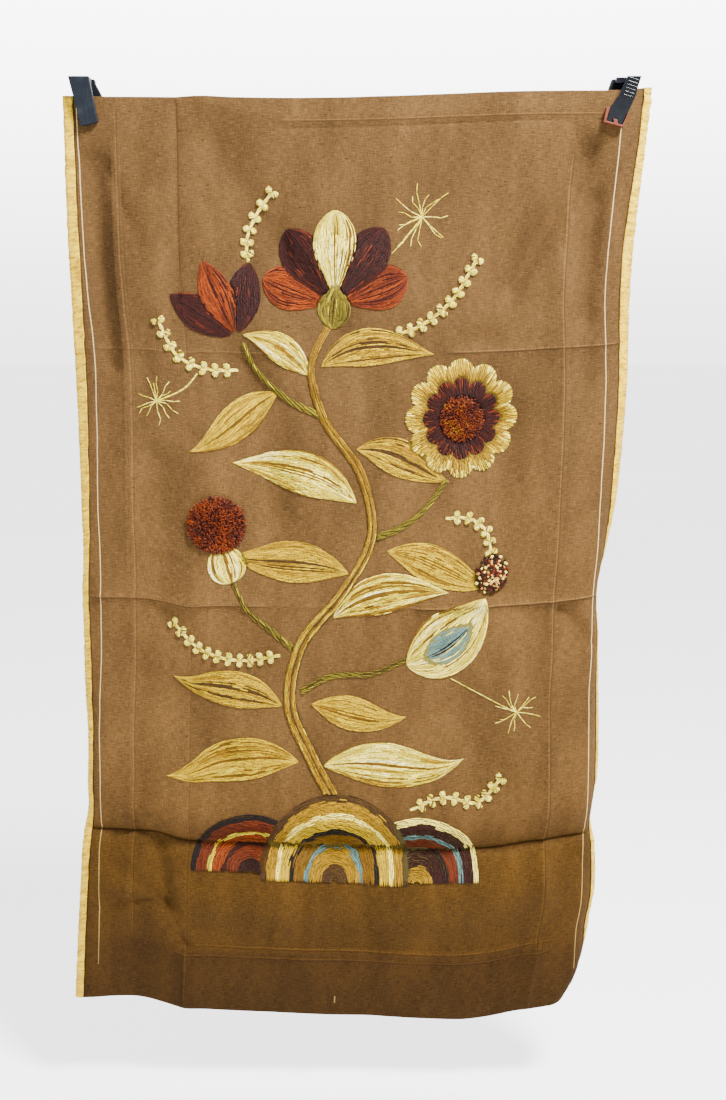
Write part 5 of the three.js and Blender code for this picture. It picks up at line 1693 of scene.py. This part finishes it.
def build_stage(settings):
    """A pale round floor well below the cloth, a key light from above, a softer one from the left,
    a white surround that is brighter behind the cloth than before it, and a camera at the
    photograph's viewing angle."""
    turn = 2 * np.pi * np.arange(96) / 96
    rim = np.stack([FLOOR_RADIUS * np.cos(turn), FLOOR_RADIUS * np.sin(turn), 0 * turn + FLOOR_HEIGHT], -1)
    floor = mesh_object("floor", rim, [np.arange(96)[None]], stage_material(), smooth=False)
    world = bpy.data.worlds.new("soft_surround")
    world.use_nodes = True
    bpy.context.scene.world = world
    tree = world.node_tree

    def ramp(value, low, high, least, most):
        made = tree.nodes.new("ShaderNodeMapRange")
        made.interpolation_type = "SMOOTHSTEP"
        tree.links.new(value, made.inputs["Value"])
        for name, number in zip(("From Min", "From Max", "To Min", "To Max"), (low, high, least, most)):
            made.inputs[name].default_value = number
        return made

    where = tree.nodes.new("ShaderNodeTexCoord")
    split = tree.nodes.new("ShaderNodeSeparateXYZ")
    tree.links.new(where.outputs["Generated"], split.inputs[0])
    upwards = ramp(split.outputs[2], -0.02, 0.3, settings.horizon, settings.backlight)
    backwards = ramp(split.outputs[1], -0.1, 0.35, settings.surround, 1.0)
    tree.links.new(upwards.outputs[0], backwards.inputs["To Max"])
    tree.links.new(backwards.outputs[0], tree.nodes["Background"].inputs["Strength"])
    tree.nodes["Background"].inputs["Color"].default_value = (1.0, 1.0, 1.0, 1.0)
    lights = (("key", KEY_LIGHT, settings.key_power), ("fill", FILL_LIGHT, settings.fill_power))
    for name, light, power in lights:
        lamp = bpy.data.lights.new(name, "AREA")
        lamp.shape = "DISK"
        lamp.size = light["size"]
        lamp.energy = power
        aimed(name, lamp, light["place"], light["target"])
    lens = bpy.data.cameras.new("camera")
    lens.sensor_width = 36
    lens.sensor_fit = "AUTO"
    lens.lens = LENS_MM
    bpy.context.scene.camera = aimed("camera", lens, CAMERA_PLACE, CAMERA_TARGET)


class CrewelClothSettings(bpy.types.PropertyGroup):
    """Sizes and colour of the linen and its edge tape."""

    thickness: bpy.props.FloatProperty(
        name="Cloth thickness", description="Thickness of the linen", default=0.0011, unit="LENGTH"
    )
    thread_pitch: bpy.props.FloatProperty(
        name="Thread pitch", description="Distance between two threads", default=0.0011, unit="LENGTH"
    )
    tape_thickness: bpy.props.FloatProperty(
        name="Tape thickness", description="Thickness of the paper tape", default=0.0003, unit="LENGTH"
    )
    colour: bpy.props.FloatVectorProperty(
        name="Linen colour", description="Main colour of the linen", subtype="COLOR", size=3,
        default=(0.0755, 0.039, 0.013),
    )


class CrewelStitchSettings(bpy.types.PropertyGroup):
    """Sizes of the stitches and of the pile."""

    strand_width: bpy.props.FloatProperty(
        name="Strand width", description="Width of one strand of wool", default=0.00152, unit="LENGTH"
    )
    arch: bpy.props.FloatProperty(
        name="Arch", description="How far a stitch rises between its ends", default=0.0006, unit="LENGTH"
    )
    tuft_width: bpy.props.FloatProperty(
        name="Tuft width", description="Width of one tuft of cut pile", default=0.0017, unit="LENGTH"
    )
    tuft_density: bpy.props.FloatProperty(
        name="Tuft density", description="Tufts in a square metre", default=420000.0
    )


class CrewelClampSettings(bpy.types.PropertyGroup):
    """Colours of the clamps."""

    left_colour: bpy.props.FloatVectorProperty(
        name="Left clamp", description="Colour of the left clamp", subtype="COLOR", size=3,
        default=(0.0048, 0.0066, 0.0102),
    )
    right_colour: bpy.props.FloatVectorProperty(
        name="Right clamp", description="Colour of the right clamp", subtype="COLOR", size=3,
        default=(0.0022, 0.0028, 0.0045),
    )
    jaw_colour: bpy.props.FloatVectorProperty(
        name="Jaw cup", description="Colour of the soft jaw cup", subtype="COLOR", size=3,
        default=(0.075, 0.0155, 0.005),
    )


class CrewelStageSettings(bpy.types.PropertyGroup):
    """Strength of the lights."""

    key_power: bpy.props.FloatProperty(
        name="Key light", description="Power of the key light in watts", default=250.0
    )
    fill_power: bpy.props.FloatProperty(
        name="Fill light", description="Power of the fill light in watts", default=11.0
    )
    surround: bpy.props.FloatProperty(
        name="Surround", description="Strength of the white surround before the cloth", default=0.4
    )
    backlight: bpy.props.FloatProperty(
        name="Backlight", description="Strength of the white surround behind the cloth", default=9.0
    )
    horizon: bpy.props.FloatProperty(
        name="Horizon", description="Strength of the surround where it meets the floor", default=3.6
    )


class CREWEL_OT_clamps(bpy.types.Operator):
    """Builds the two spring clamps"""

    bl_idname = "crewel.clamps"
    bl_label = "Clamps"

    def execute(self, context):
        build_clamps(context.scene.crewel_clamps)
        return {"FINISHED"}


class CREWEL_OT_cloth(bpy.types.Operator):
    """Builds the hung linen and the paper tape on its side edges"""

    bl_idname = "crewel.cloth"
    bl_label = "Linen and tape"

    def execute(self, context):
        settings = context.scene.crewel_cloth
        paper = tape_material()
        tapes = [
            build_tape("edge_tape_left_paper", False, settings, paper),
            build_tape("edge_tape_right_paper", True, settings, paper),
        ]
        build_linen(settings)
        return {"FINISHED"}


class CREWEL_OT_piles(bpy.types.Operator):
    """Builds the raised heads of cut pile and of knots"""

    bl_idname = "crewel.piles"
    bl_label = "Cut pile"

    def execute(self, context):
        work = Needlework(context.scene)
        for number, pile in enumerate(PILES):
            work_pile(*pile, work, 40 + number)
        work_knots(*BUD, work, 50)
        return {"FINISHED"}


class CREWEL_OT_flowers(bpy.types.Operator):
    """Works the flowers and the fruit, the uppermost first"""

    bl_idname = "crewel.flowers"
    bl_label = "Flowers and fruit"

    def execute(self, context):
        work = Needlework(context.scene)
        calyx = blade_patch((300, 254), 82, 48, 40, belly=0.9, point=0.7)
        work_motif("crown_calyx", calyx, GREENS, work, "wool_olive", 60)
        groups = ((CROWN, 50, 1.5, 0.62, CROWN_PETALS), (BELL, 40, 1.0, 0.75, BELL_PETALS))
        for centre, width, belly, point, petals in groups:
            for number, (name, heading, length, slot, wools) in enumerate(petals):
                turn = math.radians(heading)
                root = (centre[0] + 10 * math.cos(turn), centre[1] - 10 * math.sin(turn))
                petal = blade_patch(root, heading, length, width, belly=belly, point=point)
                work_motif(name, petal, wools, work, slot, 70 + number)
        inner = ring_patch(DAISY, (23, 23), (39, 47), 12)
        work_motif("daisy_inner_ring", inner, BURGUNDY_PETAL, work, "wool_burgundy", 80, style="rings")
        outer = ring_patch(DAISY, (37, 45), (57, 68), 12)
        yellows = ("ochre", "gold", "yellow", "cream")
        work_motif("daisy_outer_ring", outer, yellows, work, "wool_yellow", 81, style="rings")
        cup = blade_patch((176, 548), 108, 50, 46, belly=0.75, point=0.6)
        work_motif("thistle_cup", cup, CREAM_PETAL, work, "wool_cream", 82)
        heart = blade_patch((414, 632), 22, 70, 38, bend=26, belly=0.85, point=0.75)
        work_motif("fruit_heart", heart, ("dark", "blue", "blue", "cream"), work, "wool_blue", 83)
        fruit = blade_patch((392, 640), 20, 124, 76, bend=36, belly=0.85, point=0.75)
        work_motif("fruit", fruit, CREAM_PETAL, work, "wool_cream", 84)
        return {"FINISHED"}


class CREWEL_OT_tree(bpy.types.Operator):
    """Works the hills, the trunk, the branches and the leaves"""

    bl_idname = "crewel.tree"
    bl_label = "Tree and hills"

    def execute(self, context):
        work = Needlework(context.scene)
        for number, (name, centre, base, width, rise, slot, bands) in enumerate(HILLOCKS):
            hill = hillock_patch(centre, base, width, rise)
            work_motif(name, hill, (), work, slot, 90 + number, bands=bands)
        trunk = ribbon_patch(TRUNK, TRUNK_WIDTHS, 2.2)
        work_motif("trunk", trunk, ("brown", "ochre", "gold", "straw"), work, "wool_gold", 95)
        for number, (name, points) in enumerate(BRANCHES):
            branch = ribbon_patch(points, BRANCH_WIDTHS, 1.6)
            work_motif(name, branch, GREENS, work, "wool_olive", 100 + number, style="stem")
        for number, (name, root, heading, length, width, bend, curl) in enumerate(LEAVES):
            slot, wools = LEAF_WOOLS[number % len(LEAF_WOOLS)]
            leaf = blade_patch(root, heading, length, width, bend, curl)
            work_motif(name, leaf, wools, work, slot, 110 + number)
        return {"FINISHED"}


class CREWEL_OT_sprays(bpy.types.Operator):
    """Works the fine stems with satin dots, and the open seed heads"""

    bl_idname = "crewel.sprays"
    bl_label = "Sprays"

    def execute(self, context):
        work = Needlework(context.scene)
        for number, (name, points) in enumerate(SPRAYS):
            work_spray(name, points, SPRAY_WOOLS, work, 130 + 40 * number)
        work_seed_heads("seed_heads", SEED_HEADS, work, 400)
        return {"FINISHED"}


class CREWEL_OT_stage(bpy.types.Operator):
    """Sets up the floor, the lights and the camera"""

    bl_idname = "crewel.stage"
    bl_label = "Stage"

    def execute(self, context):
        build_stage(context.scene.crewel_stage)
        return {"FINISHED"}


SETTINGS = (
    ("crewel_cloth", CrewelClothSettings),
    ("crewel_stitches", CrewelStitchSettings),
    ("crewel_clamps", CrewelClampSettings),
    ("crewel_stage", CrewelStageSettings),
)
OPERATORS = (
    CREWEL_OT_clamps, CREWEL_OT_cloth, CREWEL_OT_piles, CREWEL_OT_flowers, CREWEL_OT_tree,
    CREWEL_OT_sprays, CREWEL_OT_stage,
)


class CREWEL_PT_panel(bpy.types.Panel):
    """Lists the settings and the steps in their order."""

    bl_idname = "CREWEL_PT_panel"
    bl_label = "Crewel wall hanging"
    bl_space_type = "VIEW_3D"
    bl_region_type = "UI"
    bl_category = "Crewel"

    def draw(self, context):
        for attribute, group in SETTINGS:
            box = self.layout.box()
            for name in group.__annotations__:
                box.prop(getattr(context.scene, attribute), name)
        for operator in OPERATORS:
            self.layout.operator(operator.bl_idname)


def register():
    for attribute, group in SETTINGS:
        bpy.utils.register_class(group)
        setattr(bpy.types.Scene, attribute, bpy.props.PointerProperty(type=group))
    for operator in OPERATORS:
        bpy.utils.register_class(operator)
    bpy.utils.register_class(CREWEL_PT_panel)


def unregister():
    bpy.utils.unregister_class(CREWEL_PT_panel)
    for operator in reversed(OPERATORS):
        bpy.utils.unregister_class(operator)
    for attribute, group in reversed(SETTINGS):
        delattr(bpy.types.Scene, attribute)
        bpy.utils.unregister_class(group)


def main():
    """Runs every step in its order."""
    register()
    bpy.ops.crewel.clamps()
    bpy.ops.crewel.cloth()
    bpy.ops.crewel.piles()
    bpy.ops.crewel.flowers()
    bpy.ops.crewel.tree()
    bpy.ops.crewel.sprays()
    bpy.ops.crewel.stage()


if __name__ == "__main__":
    main()
